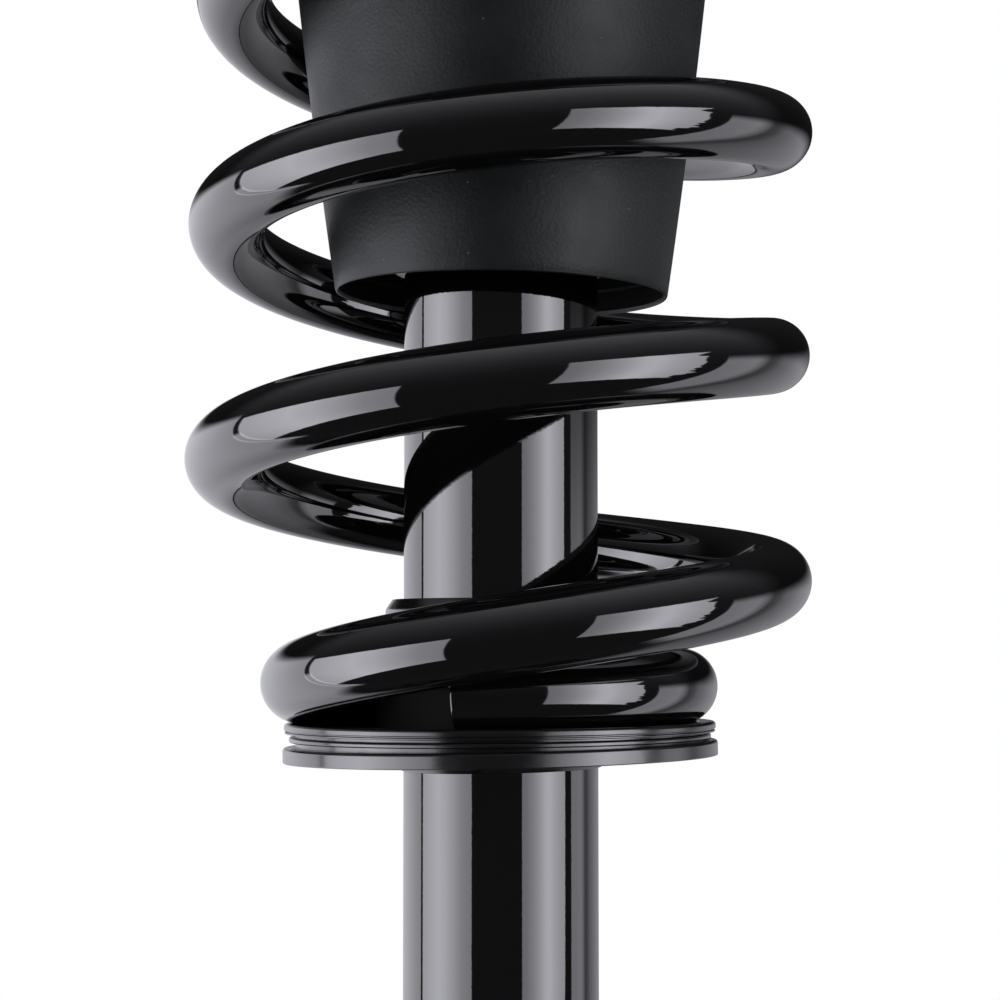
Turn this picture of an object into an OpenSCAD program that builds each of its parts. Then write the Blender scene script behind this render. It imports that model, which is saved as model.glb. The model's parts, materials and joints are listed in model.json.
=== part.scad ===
// Front suspension strut assembly: top mount, swivel bearing, coil spring, dust boot,
// twin-tube damper and its brackets. Millimetres, +Z up along the strut axis. The origin
// is the centre of the face that bolts up under the body, so nearly all of it is below zero.

/* [Damper tube] */
// Outside diameter of the damper tube
tube_d = 45; // [40:1:52]
// Wall of the damper tube
tube_wall = 2.5; // [2:0.1:3]
// Height of the tube above the perch datum
tube_above = 112; // [104:1:122]
// Length of the tube below the perch datum
tube_below = 205; // [190:1:240]
// Gap for oil between the tube and the inner cylinder
oil_gap = 2.5; // [1.5:0.1:4]
// Wall of the inner cylinder
cylinder_wall = 1.5; // [1:0.1:2]

/* [Piston rod] */
// Diameter of the piston rod
rod_d = 20; // [16:1:22]
// Thread at the top end of the rod
rod_thread_d = 14; // [12:1:15]
// Thread at the piston end of the rod
piston_thread_d = 12; // [10:1:13]
// Height of the piston
piston_h = 16; // [12:1:22]
// Rod length between the rebound stop and the piston
stop_to_piston = 12; // [8:1:20]

/* [Coil spring] */
// Diameter of the spring wire
wire_d = 17.4; // [13:0.1:17.8]
// Mean radius of the open coils
coil_r = 63.5; // [58:0.1:68]
// Mean radius of the small bottom coil
end_coil_r = 41.5; // [39:0.1:43]
// Number of turns from wire end to wire end
turns = 5.25; // [4.25:0.25:6.25]
// Rise of the open coils in one turn
pitch = 53; // [42:0.5:60]
// Turn at which the bottom coil starts to widen
widen_from = 0.67; // [0.62:0.01:0.68]
// Turn at which the coils reach their full radius
widen_to = 1.17; // [1.15:0.01:1.25]
// Turn at which the bottom coil starts to climb
climb_from = 0.62; // [0.6:0.01:0.65]
// Turn at which the full pitch is reached
climb_to = 1.01; // [0.96:0.01:1.02]
// Direction of the lower wire end, in degrees round the strut
wire_end_angle = -105; // [-180:1:180]
// Change of the spring axis's lean in 100 mm of height, in degrees
spring_bow = 2.2; // [0:0.1:3.2]

/* [Spring perch] */
// Tilt of the perch and of the spring that stands on it, in degrees
perch_cant = -1.2; // [-2:0.1:0]
// Outside radius of the hoop under the perch rim
hoop_r = 50.1; // [49:0.1:54]
// Height of that hoop
hoop_h = 3.5; // [3:0.1:5]
// Outside radius of the rolled rim
rim_r = 49.7; // [48.5:0.1:53]
// Height of the rolled rim
rim_h = 2.4; // [2:0.1:2.6]
// Radius at the bottom of the groove between rim and hoop
groove_r = 48.4; // [47:0.1:49]
// Height of that groove
groove_h = 2.5; // [2.4:0.1:3]
// Sheet thickness of the perch
perch_t = 2.5; // [2:0.1:3]
// Wall of the neck round the tube
neck_wall = 3.4; // [3:0.1:5]
// Height of the neck above the perch datum
neck_h = 29; // [24:0.5:32]

/* [Dust boot] */
// Outside radius of the open lower rim
boot_rim_r = 38.7; // [36:0.1:40]
// Height of that rim above the perch datum
boot_rim_h = 99.9; // [90:0.1:106]
// Flare of the boot at the rim, radius gained per millimetre of height
boot_flare = 0.147; // [0.12:0.001:0.165]
// Flare lost per millimetre of height
boot_flare_loss = 0.0005; // [0.0003:0.0001:0.001]
// Wall of the boot
boot_wall = 2; // [1.5:0.1:2.5]

/* [Top mount] */
// Diameter of the circle of studs
stud_circle_d = 120; // [112:1:140]
// Diameter of the studs
stud_d = 10; // [8:1:12]
// Height of the studs above the mounting face
stud_up = 30; // [20:1:40]
// Sheet thickness of the mount's two pressings
plate_t = 3; // [2.5:0.1:3.5]
// Radius of the round middle of the mounting plate
plate_r = 52; // [50:0.5:56]
// Corner radius round each stud
ear_r = 14; // [12:0.5:16]
// Inside radius of the rubber's housing
housing_r = 29; // [27:0.5:30]
// Height of the housing above the mounting face
housing_up = 11; // [8:0.5:14]
// Depth of the housing below the mounting face
housing_down = 21; // [18:0.5:24]
// Outside radius of the sleeve bonded in the rubber
sleeve_r = 12; // [11:0.5:13.5]

/* [Swivel bearing] */
// Radius of the ring of balls
ball_ring_r = 42; // [40.5:0.5:42.5]
// Diameter of a ball
ball_d = 5.5; // [4.5:0.1:6]
// Number of balls
ball_count = 32; // [24:1:36]

/* [Upper spring seat] */
// Outside radius of the upper seat
seat_r = 79.5; // [76:0.5:84]
// Sheet thickness of the upper seat
seat_t = 2.5; // [2:0.1:3]
// Drop from the seat's inner flat to its outer flange
seat_drop = 11.5; // [9:0.5:14]
// Thickness of the rubber under the upper seat
upper_pad_t = 5.3; // [4:0.1:7]

/* [Bump stop] */
// Free length of the bump stop
bump_l = 70; // [58:1:76]
// Radius of the bump stop
bump_r = 21.5; // [19:0.5:23]

/* [Knuckle bracket] */
// Sheet thickness of the bracket
bracket_t = 4.5; // [3.5:0.1:5.5]
// Clear gap between the two ears
ear_gap = 26; // [22:1:28]
// Distance of the bolt holes from the strut axis
ear_reach = 50; // [46:1:58]
// Diameter of the two bolt holes
knuckle_bolt_d = 14; // [12:0.5:16]
// Distance between the two bolt holes
knuckle_bolt_spacing = 60; // [52:1:66]

/* [Link and hose brackets] */
// Diameter of the link hole
link_hole_d = 10; // [8:0.5:12]
// Distance of the link hole from the strut axis
link_reach = 44; // [40:1:54]
// Diameter of the hose hole
hose_hole_d = 12; // [10:0.5:14]

/* [Fits] */
// Radial running clearance of sliding and turning pieces
running_gap = 0.04; // [0.02:0.01:0.08]
// Radial clearance of a hole round what passes through it
slip_gap = 0.2; // [0.1:0.05:0.3]
// Clearance between a thread's crest and its nut
thread_gap = 0.05; // [0.03:0.01:0.1]
// Clearance between a soft piece and what it faces
soft_gap = 0.3; // [0.3:0.05:0.5]

/* [Hidden] */
$fn = 96;

black_paint = "#17171a";
zinc = "#b9bcc0";
rubber = "#1d1d1f";

// Top mount, from the mounting face down and up
tube_r = tube_d / 2;
tube_in_r = tube_r - tube_wall;
rod_r = rod_d / 2;
rod_thread_r = rod_thread_d / 2;
stud_r = stud_d / 2;
stud_neck_r = stud_r + 0.3;
plate_bottom = -plate_t;
shell_flange_bottom = plate_bottom - plate_t;
housing_out_r = housing_r + plate_t;
housing_mouth_r = sleeve_r + 5;
rubber_top = housing_up - plate_t;
rubber_bottom = -housing_down + plate_t;
sleeve_top = housing_up + 2;
sleeve_bottom = -housing_down - 3;
sleeve_disc_r = (sleeve_r + housing_r) / 2 + 2;
sleeve_disc_t = 3;
sleeve_disc_z = (rubber_top + rubber_bottom) / 2;
washer_t = 3;
washer_r = housing_mouth_r + 5;
nut_flange_t = 2.5;
nut_h = 12;
nut_across_flats = 1.5 * rod_thread_d;
nut_bottom = sleeve_top + washer_t;
nut_top = nut_bottom + nut_h;
rod_top = nut_top + 5;
bump_cup_t = 2;
rod_shoulder = sleeve_bottom - bump_cup_t;
bump_cup_skirt = 10;
bump_bottom = rod_shoulder - bump_l;

// Swivel bearing: ball centres lie between the two races
ball_r = ball_d / 2;
race_half_w = ball_r + 3.25;
upper_race_bottom = shell_flange_bottom - 5.5;
ball_z = upper_race_bottom - 1.5;
lower_race_top = ball_z - 1.5;
lower_race_bottom = lower_race_top - 5.5;
race_groove_r = ball_r + 0.12;
cage_half_t = 1.2;
skirt_in_r = ball_ring_r + race_half_w + 1;
skirt_wall = 2;

// Upper spring seat
seat_top = lower_race_bottom;
seat_collar_r = ball_ring_r - race_half_w - 1;
seat_flat_r = ball_ring_r + race_half_w + 2;
seat_flange_top = seat_top - seat_drop;
seat_flange_bottom = seat_flange_top - seat_t;
seat_cone_run = 5;
seat_rim_drop = 4;
seat_collar_bottom = seat_top - seat_t - 5;
upper_pad_bottom = seat_flange_bottom - upper_pad_t;

// Coil spring, in its own height above the perch datum
wire_r = wire_d / 2;
close_from = turns - 1.05;
close_to = turns - 0.25;
coil_lift = pitch * (turns - (climb_from + climb_to) / 2 - (2 * turns - close_from - close_to) / 2);
lower_pad_top = -0.15;
wire_z = lower_pad_top + soft_gap + wire_r;
spring_top = wire_z + coil_lift + wire_r;
perch_z = upper_pad_bottom - soft_gap - spring_top;
bow_until = coil_lift - pitch;
rings_per_turn = 20;
ring_sides = 8;

// Perch, in heights above the perch datum
hoop_top = -3.45;
hoop_bottom = hoop_top - hoop_h;
rim_bottom = hoop_top + groove_h;
rim_top = rim_bottom + rim_h;
neck_r = tube_r + neck_wall;
pan_r = groove_r - perch_t;
pan_floor = hoop_bottom + perch_t;
pan_corner = 0.6;
pad_lip_turns = 0.6;

// Damper tube and what it holds
tube_top = perch_z + tube_above;
tube_bottom = perch_z - tube_below;
tube_lip = 1.2;
striker_t = 2.5;
striker_skirt = 6;
seal_h = 7;
guide_h = 14;
guide_spigot = 6;
seal_bottom = tube_top - tube_lip - seal_h;
guide_step = seal_bottom - guide_h;
guide_bottom = guide_step - guide_spigot;
cylinder_r = tube_in_r - oil_gap;
bore_r = cylinder_r - cylinder_wall;
bush_wall = 2;
end_cap_t = 3;
end_cap_h = 5;
valve_flange = 4;
valve_spigot = 10;
cylinder_bottom = tube_bottom + end_cap_h + valve_flange;
valve_bolt_r = 3;

// Piston end of the rod, at full extension
bumper_h = 8;
stop_h = 4;
stop_r = bore_r - 2;
bumper_top = guide_bottom - soft_gap;
stop_top = bumper_top - bumper_h;
piston_thread_r = piston_thread_d / 2;
shim_t = 0.6;
shim_count = 4;
shim_stack = shim_t * shim_count;
piston_shoulder = stop_top - stop_h - stop_to_piston;
piston_top = piston_shoulder - shim_stack;
piston_bottom = piston_top - piston_h;
piston_nut_top = piston_bottom - shim_stack;
piston_nut_h = 9;
rod_bottom = piston_nut_top - piston_nut_h - 2;
band_t = 1.2;
band_h = piston_h - 5;

// Dust boot
boot_rim_z = perch_z + boot_rim_h;
boot_neck_z = seat_top - seat_t;
boot_shoulder_z = seat_flange_bottom - 2;
boot_knee_h = 71;
boot_upper_flare = 0.05;
boot_neck_r = seat_collar_r + seat_t + slip_gap;

// Brackets on the lower tube
saddle_t = 3;
knuckle_bottom = tube_bottom + 6;
knuckle_h = knuckle_bolt_spacing + 28;
knuckle_mid = knuckle_bottom + knuckle_h / 2;
link_h = 26;
link_mid = knuckle_bottom + knuckle_h + 9 + link_h / 2;
hose_h = 16;
hose_mid = link_mid;
hose_angle = 215;
weld_leg = 2.4;
weld_toe = 0.5;

function ramp(x) = x <= 0 ? 0 : x >= 1 ? 1 : x * x * (3 - 2 * x);
function ramp_area(x) = x <= 0 ? 0 : x >= 1 ? x - 0.5 : pow(x, 3) - pow(x, 4) / 2;
function polar(r, a) = [r * cos(a), r * sin(a), 0];
function unit(v) = v / norm(v);

// Outside radius of the boot at a height above its rim
function boot_quad(h) = boot_rim_r + boot_flare * h - boot_flare_loss / 2 * h * h;
function boot_r(h) = h < boot_knee_h ? boot_quad(h)
  : boot_quad(boot_knee_h) + boot_upper_flare * (h - boot_knee_h);

// Spring centreline: radius and height at a turn, then the bow of its axis
function coil_radius(t) = end_coil_r
  + (coil_r - end_coil_r) * ramp((t - widen_from) / (widen_to - widen_from));
function coil_rise(t) = pitch
  * ((climb_to - climb_from) * ramp_area((t - climb_from) / (climb_to - climb_from))
  - (close_to - close_from) * ramp_area((t - close_from) / (close_to - close_from)));
function bow_fade(z) = 1 - ramp((z - bow_until) / (coil_lift - bow_until));
function bow_slope(z) = (perch_cant + spring_bow * z / 100) * PI / 180 * bow_fade(z);
function bow_shift(z) = (perch_cant + spring_bow * z / 200) * PI / 180 * z * bow_fade(z);
function coil_point(t) =
  let (z = coil_rise(t), p = polar(coil_radius(t), wire_end_angle + 360 * t))
  [p.x + bow_shift(z), p.y, perch_z + wire_z + z - p.x * bow_slope(z)];
function wire_ring(t) =
  let (c = coil_point(t))
  let (along = unit(coil_point(t + 0.002) - coil_point(t - 0.002)))
  let (side = unit(cross(along, [0, 0, 1])))
  let (up = cross(side, along))
  [for (i = [0:ring_sides - 1])
    let (a = 360 / ring_sides * (i + 0.5))
    c + wire_r * (cos(a) * side + sin(a) * up)];

// A solid of revolution about the strut axis
module turned(points) {
  rotate_extrude(convexity = 6) polygon(points);
}

module ring(r_out, r_in, bottom, top) {
  translate([0, 0, bottom]) difference() {
    cylinder(r = r_out, h = top - bottom);
    translate([0, 0, -1]) cylinder(r = r_in, h = top - bottom + 2);
  }
}

module hexagon(across_flats, bottom, top) {
  translate([0, 0, bottom]) cylinder(d = across_flats / cos(30), h = top - bottom, $fn = 6);
}

module bore(r, bottom, top) {
  translate([0, 0, bottom - 1]) cylinder(r = r, h = top - bottom + 2);
}

module at_studs() {
  for (i = [0:2]) rotate([0, 0, 90 + 120 * i]) translate([stud_circle_d / 2, 0, 0]) children();
}

// Turns its children with the canted perch
module canted() {
  translate([0, 0, perch_z]) rotate([0, perch_cant, 0]) children();
}

// Outline of the mounting plate: a round middle and a rounded corner at each stud
module plate_outline() {
  circle(r = plate_r);
  hull() for (i = [0:2]) rotate(90 + 120 * i) translate([stud_circle_d / 2, 0])
    circle(r = ear_r, $fn = 32);
}

module mount_plate() {
  color(black_paint) difference() {
    union() {
      translate([0, 0, plate_bottom]) linear_extrude(plate_t) plate_outline();
      ring(housing_out_r, housing_r, 0, housing_up);
      ring(housing_out_r, housing_mouth_r, rubber_top, housing_up);
    }
    bore(housing_r, plate_bottom - 1, rubber_top - 1);
    at_studs() bore(stud_neck_r, plate_bottom, 0);
  }
}

module mount_lower_shell() {
  color(black_paint) difference() {
    union() {
      translate([0, 0, shell_flange_bottom]) linear_extrude(plate_t) plate_outline();
      ring(housing_out_r, housing_r, -housing_down, shell_flange_bottom);
      ring(housing_out_r, housing_mouth_r, -housing_down, rubber_bottom);
    }
    bore(housing_r, rubber_bottom + 1, plate_bottom + 1);
    at_studs() bore(stud_neck_r, shell_flange_bottom, plate_bottom);
  }
}

module sleeve_shape() {
  ring(sleeve_r, rod_thread_r + slip_gap, sleeve_bottom, sleeve_top);
  ring(sleeve_disc_r, sleeve_r, sleeve_disc_z - sleeve_disc_t / 2, sleeve_disc_z + sleeve_disc_t / 2);
}

// Rubber bonded between housing and sleeve, with a rolling groove in each face
module mount_rubber() {
  groove_mid = (sleeve_r + housing_mouth_r) / 2 + 1;
  color(rubber) difference() {
    ring(housing_r, sleeve_r, rubber_bottom, rubber_top);
    ring(sleeve_disc_r, sleeve_r - 1, sleeve_disc_z - sleeve_disc_t / 2,
      sleeve_disc_z + sleeve_disc_t / 2);
    for (z = [rubber_bottom, rubber_top]) translate([0, 0, z])
      rotate_extrude() translate([groove_mid, 0]) circle(r = 2.4);
  }
}

module mount_sleeve() {
  color(zinc) sleeve_shape();
}

// Three studs with round heads, each gripped by its thicker neck in both plates
module mount_studs() {
  head_h = 3.2;
  tip_h = 1.5;
  color(zinc) at_studs() {
    translate([0, 0, shell_flange_bottom - head_h]) cylinder(r = stud_r + 3, h = head_h);
    translate([0, 0, shell_flange_bottom]) cylinder(r = stud_neck_r, h = -shell_flange_bottom);
    cylinder(r = stud_r, h = stud_up - tip_h);
    translate([0, 0, stud_up - tip_h]) cylinder(r1 = stud_r, r2 = stud_r - 1.2, h = tip_h);
  }
}

module rod_washer() {
  color(zinc) ring(washer_r, rod_thread_r + slip_gap, sleeve_top, nut_bottom);
}

module rod_nut() {
  color(zinc) difference() {
    union() {
      translate([0, 0, nut_bottom]) cylinder(r = nut_across_flats / 2 + 3.5, h = nut_flange_t);
      intersection() {
        hexagon(nut_across_flats, nut_bottom + nut_flange_t - 0.1, nut_top);
        translate([0, 0, nut_bottom]) cylinder(r1 = nut_across_flats, r2 = nut_across_flats / 2 + 0.4,
          h = nut_h);
      }
    }
    bore(rod_thread_r + thread_gap, nut_bottom, nut_top);
  }
}

// Upper race with the skirt that shields the balls
module bearing_upper_race() {
  skirt_bottom = lower_race_top - 2.5;
  color("#2a2a2c") difference() {
    union() {
      ring(skirt_in_r + 0.1, ball_ring_r - race_half_w, upper_race_bottom, shell_flange_bottom);
      ring(skirt_in_r + skirt_wall, skirt_in_r, skirt_bottom, shell_flange_bottom);
    }
    translate([0, 0, ball_z]) rotate_extrude() translate([ball_ring_r, 0]) circle(r = race_groove_r);
  }
}

module bump_stop_cup() {
  cup_r = bump_r + 0.5;
  color(black_paint) {
    ring(cup_r + bump_cup_t, rod_thread_r + slip_gap, rod_shoulder, sleeve_bottom);
    ring(cup_r + bump_cup_t, cup_r, rod_shoulder - bump_cup_skirt, rod_shoulder);
  }
}

// Foam bump stop: a ringed tube that narrows to its nose
module bump_stop() {
  waist_r = 4;
  waists = 3;
  waist_step = (bump_l - bump_cup_skirt - 6) / waists;
  nose_r = bump_r - 5;
  color("#c9b27a") rotate_extrude() difference() {
    polygon([
      [rod_r + slip_gap, bump_bottom], [nose_r, bump_bottom], [bump_r, bump_bottom + 9],
      [bump_r, rod_shoulder], [rod_r + slip_gap, rod_shoulder]
    ]);
    for (i = [1:waists]) translate([bump_r + 1.2, rod_shoulder - bump_cup_skirt - waist_step * i + 5])
      circle(r = waist_r);
  }
}

// Hard chromed rod with a threaded end at the top and one for the piston
module piston_rod() {
  key_across_flats = 6;
  key_depth = 8;
  color("#d5d7da") difference() {
    union() {
      turned([
        [0, rod_bottom], [piston_thread_r - 1, rod_bottom], [piston_thread_r, rod_bottom + 1],
        [piston_thread_r, piston_shoulder], [rod_r, piston_shoulder], [rod_r, rod_shoulder],
        [rod_thread_r, rod_shoulder], [rod_thread_r, rod_top - 1.5], [rod_thread_r - 1.5, rod_top],
        [0, rod_top]
      ]);
    }
    hexagon(key_across_flats, rod_top - key_depth, rod_top + 1);
  }
}

module rebound_stop() {
  color(zinc) ring(stop_r, rod_r, stop_top - stop_h, stop_top);
}

module rebound_bumper() {
  color(rubber) turned([
    [rod_r + slip_gap, stop_top], [stop_r, stop_top], [stop_r, bumper_top - 2],
    [stop_r - 1.5, bumper_top], [rod_r + slip_gap, bumper_top]
  ]);
}

// A stack of spring-steel discs of falling radius on the piston thread
module shim_pack(first_z, direction, r_big) {
  for (i = [0:shim_count - 1]) {
    z = first_z + direction * shim_t * i;
    ring(r_big - 1.3 * i, piston_thread_r + slip_gap, min(z, z + direction * shim_t),
      max(z, z + direction * shim_t));
  }
}

module compression_shims() {
  color("#8f9499") shim_pack(piston_top, 1, bore_r - 3.5);
}

// Sintered piston with two rings of oil passages and a groove for its band
module piston() {
  color("#6d7074") difference() {
    ring(bore_r - 0.3, piston_thread_r + slip_gap, piston_bottom, piston_top);
    ring(bore_r + 1, bore_r - band_t, piston_bottom + (piston_h - band_h) / 2,
      piston_top - (piston_h - band_h) / 2);
    for (i = [0:5]) rotate([0, 0, 60 * i]) translate([(bore_r + piston_thread_r) / 2 - 0.8, 0, 0])
      bore(1.3, piston_bottom, piston_top);
  }
}

module piston_band() {
  color("#3f4a44") ring(bore_r - running_gap, bore_r - band_t,
    piston_bottom + (piston_h - band_h) / 2, piston_top - (piston_h - band_h) / 2);
}

module rebound_shims() {
  color("#8f9499") shim_pack(piston_bottom, -1, bore_r - 3.5);
}

module piston_nut() {
  color(zinc) difference() {
    hexagon(1.5 * piston_thread_d, piston_nut_top - piston_nut_h, piston_nut_top);
    bore(piston_thread_r + thread_gap, piston_nut_top - piston_nut_h, piston_nut_top);
  }
}

// Snap cage with a round pocket for each ball
module bearing_cage() {
  color("#d8d2c0") difference() {
    ring(ball_ring_r + ball_r + 1, ball_ring_r - ball_r - 1, ball_z - cage_half_t, ball_z + cage_half_t);
    for (i = [0:ball_count - 1]) rotate([0, 0, 360 / ball_count * i]) translate([ball_ring_r, 0, 0])
      bore(ball_r + 0.15, ball_z - cage_half_t, ball_z + cage_half_t);
  }
}

module bearing_balls() {
  color("#c4c8cc") for (i = [0:ball_count - 1]) rotate([0, 0, 360 / ball_count * i])
    translate([ball_ring_r, 0, ball_z]) sphere(r = ball_r);
}

module bearing_lower_race() {
  color("#2a2a2c") difference() {
    ring(ball_ring_r + race_half_w, ball_ring_r - race_half_w, lower_race_bottom, lower_race_top);
    translate([0, 0, ball_z]) rotate_extrude() translate([ball_ring_r, 0]) circle(r = race_groove_r);
  }
}

// Pressed seat: collar, bearing flat, cone, flange and turned-down rim
module upper_spring_seat() {
  flat_in = seat_flat_r - seat_t * 0.85;
  cone_out = seat_flat_r + seat_cone_run;
  color(black_paint) turned([
    [seat_collar_r, seat_collar_bottom], [seat_collar_r, seat_top], [seat_flat_r, seat_top],
    [cone_out, seat_flange_top], [seat_r, seat_flange_top],
    [seat_r, seat_flange_bottom - seat_rim_drop], [seat_r - seat_t, seat_flange_bottom - seat_rim_drop],
    [seat_r - seat_t, seat_flange_bottom], [cone_out - seat_t * 0.85, seat_flange_bottom],
    [flat_in, seat_top - seat_t], [seat_collar_r + seat_t, seat_top - seat_t],
    [seat_collar_r + seat_t, seat_collar_bottom]
  ]);
}

// Rubber ring under the flange, with a lip inside the top coil
module upper_isolator() {
  lip_in_r = boot_r(boot_shoulder_z - boot_rim_z) + 1;
  lip_out_r = coil_r - wire_r - soft_gap;
  color(rubber) turned([
    [lip_in_r, seat_flange_bottom], [seat_r - seat_t, seat_flange_bottom],
    [seat_r - seat_t, upper_pad_bottom], [lip_out_r, upper_pad_bottom],
    [lip_out_r - 0.3, upper_pad_bottom - 6], [lip_in_r, upper_pad_bottom - 6]
  ]);
}

// Moulded boot: hung from the seat's collar, widening upwards from its open rim
module dust_boot() {
  steps = 14;
  body_h = boot_shoulder_z - boot_rim_z;
  shoulder_r = boot_r(body_h);
  neck_out_r = seat_flat_r - seat_t * 0.85 - 1.2;
  outside = [for (i = [0:steps]) [boot_r(body_h * i / steps), boot_rim_z + body_h * i / steps]];
  inside = [for (i = [steps:-1:0])
    [boot_r(body_h * i / steps) - boot_wall, boot_rim_z + body_h * i / steps]];
  color("#26282a") turned(concat(
    outside,
    [[neck_out_r, boot_neck_z], [boot_neck_r, boot_neck_z], [boot_neck_r, boot_neck_z - boot_wall]],
    [[neck_out_r - boot_wall * 0.8, boot_neck_z - boot_wall]],
    [[shoulder_r - boot_wall, boot_shoulder_z - 0.5]],
    [for (i = [1:steps]) inside[i]]
  ));
}

// Open helix swept as one tube; its faces are triangles and both ends are cut square
module coil_spring() {
  count = round(turns * rings_per_turn);
  centres = [for (k = [0:count]) coil_point(turns * k / count)];
  rings = [for (k = [0:count]) wire_ring(turns * k / count)];
  points = [for (r = rings) each r];
  last = count * ring_sides;
  sides = [for (k = [0:count - 1], i = [0:ring_sides - 1])
    let (a = k * ring_sides + i, b = k * ring_sides + (i + 1) % ring_sides)
    each [[a, b, a + ring_sides], [b, b + ring_sides, a + ring_sides]]];
  ends = [for (i = [1:ring_sides - 2])
    each [[0, i + 1, i], [last, last + i, last + i + 1]]];
  apart = floor(0.6 * rings_per_turn);
  gaps = [for (i = [0:count], j = [i + apart:1:count]) norm(centres[i] - centres[j]) - wire_d];
  echo(spring_least_gap = min(gaps), spring_length = spring_top);
  color(black_paint) polyhedron(points = points, faces = concat(sides, ends), convexity = 12);
}

// Damper body, its top rim rolled in over the seal
module outer_tube() {
  color(black_paint) turned([
    [tube_in_r, tube_bottom], [tube_r, tube_bottom], [tube_r, tube_top],
    [tube_in_r - 2.5, tube_top], [tube_in_r - 2.5, tube_top - tube_lip],
    [tube_in_r, tube_top - tube_lip]
  ]);
}

module tube_end_cap() {
  color(black_paint) turned([
    [0, tube_bottom - end_cap_t], [tube_r - 1.5, tube_bottom - end_cap_t], [tube_r, tube_bottom - 1.5],
    [tube_r, tube_bottom], [tube_in_r, tube_bottom], [tube_in_r, tube_bottom + end_cap_h],
    [tube_in_r - end_cap_t, tube_bottom + end_cap_h], [tube_in_r - end_cap_t, tube_bottom + 1],
    [0, tube_bottom + 1]
  ]);
}

// Pressed cap that takes the bump stop's blow
module striker_cap() {
  color(zinc) {
    ring(tube_r + striker_t, rod_r + 2, tube_top, tube_top + striker_t);
    ring(tube_r + striker_t, tube_r, tube_top - striker_skirt, tube_top);
  }
}

module rod_seal() {
  lip = 1.5;
  color(rubber) turned([
    [rod_r + running_gap, seal_bottom + 1], [rod_r + lip, seal_bottom], [tube_in_r, seal_bottom],
    [tube_in_r, seal_bottom + seal_h], [rod_r + lip + 1, seal_bottom + seal_h],
    [rod_r + running_gap, seal_bottom + seal_h - 1], [rod_r + lip, seal_bottom + seal_h / 2]
  ]);
}

// Sintered guide, spigoted into the inner cylinder
module rod_guide() {
  bush_r = rod_r + running_gap + bush_wall;
  color("#7b7e82") difference() {
    union() {
      ring(tube_in_r, bush_r, guide_step, seal_bottom);
      ring(bore_r, bush_r, guide_bottom, guide_step);
    }
    for (i = [0:3]) rotate([0, 0, 90 * i]) translate([tube_in_r - 1, 0, 0])
      bore(1.2, guide_step, seal_bottom);
  }
}

module guide_bush() {
  color("#8a6a3c") ring(rod_r + running_gap + bush_wall, rod_r + running_gap, guide_bottom,
    seal_bottom - 1);
}

module inner_cylinder() {
  color("#9aa0a6") ring(cylinder_r, bore_r, cylinder_bottom, guide_step);
}

// Foot valve body between the end cap and the inner cylinder
module base_valve() {
  color("#6d7074") difference() {
    union() {
      ring(tube_in_r - slip_gap, valve_bolt_r, cylinder_bottom - valve_flange, cylinder_bottom);
      ring(bore_r, valve_bolt_r, cylinder_bottom, cylinder_bottom + valve_spigot);
    }
    for (i = [0:5]) rotate([0, 0, 60 * i]) translate([bore_r - 5, 0, 0])
      bore(1.5, cylinder_bottom - valve_flange, cylinder_bottom + valve_spigot);
    for (i = [0:3]) rotate([0, 0, 45 + 90 * i]) translate([tube_in_r - 1, 0, 0])
      bore(1.6, cylinder_bottom - valve_flange, cylinder_bottom);
  }
}

module base_valve_shims() {
  top = cylinder_bottom + valve_spigot;
  color("#8f9499") for (i = [0:2])
    ring(bore_r - 3 - 1.5 * i, valve_bolt_r, top + shim_t * i, top + shim_t * (i + 1));
}

module base_valve_bolt() {
  low = cylinder_bottom - valve_flange;
  high = cylinder_bottom + valve_spigot + 3 * shim_t;
  color(zinc) {
    translate([0, 0, low]) cylinder(r = valve_bolt_r, h = high - low);
    hexagon(10, high, high + 4);
  }
}

// Pressed pan with rolled rim and a neck round the tube
module spring_perch() {
  rim_mid = (rim_top + rim_bottom) / 2;
  round_r = rim_h / 2;
  shoulder = 1.8;
  color(black_paint) difference() {
    union() {
      canted() rotate_extrude() {
        polygon([
          [tube_r - 1, hoop_bottom], [pan_r, hoop_bottom], [pan_r, hoop_top], [groove_r, hoop_top],
          [groove_r, rim_mid], [pan_r, rim_mid],
          [pan_r, hoop_top + 0.8], [pan_r - perch_t, pan_floor + pan_corner],
          [pan_r - perch_t - pan_corner, pan_floor], [tube_r - 1, pan_floor]
        ]);
      }
      translate([0, 0, perch_z]) rotate([0, perch_cant / 2, 0]) rotate_extrude()
        translate([rim_r - round_r, rim_mid]) circle(r = round_r);
      translate([0, 0, perch_z]) turned([
        [tube_r, pan_floor - 1], [neck_r, pan_floor - 1], [neck_r, neck_h - shoulder],
        [neck_r - shoulder * 0.3, neck_h - shoulder * 0.3], [neck_r - shoulder, neck_h],
        [tube_r, neck_h]
      ]);
    }
    translate([0, 0, perch_z - 20]) cylinder(r = tube_r, h = 60);
  }
}

module perch_hoop() {
  color(black_paint) canted() ring(hoop_r, pan_r, hoop_bottom, hoop_top);
}

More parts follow.
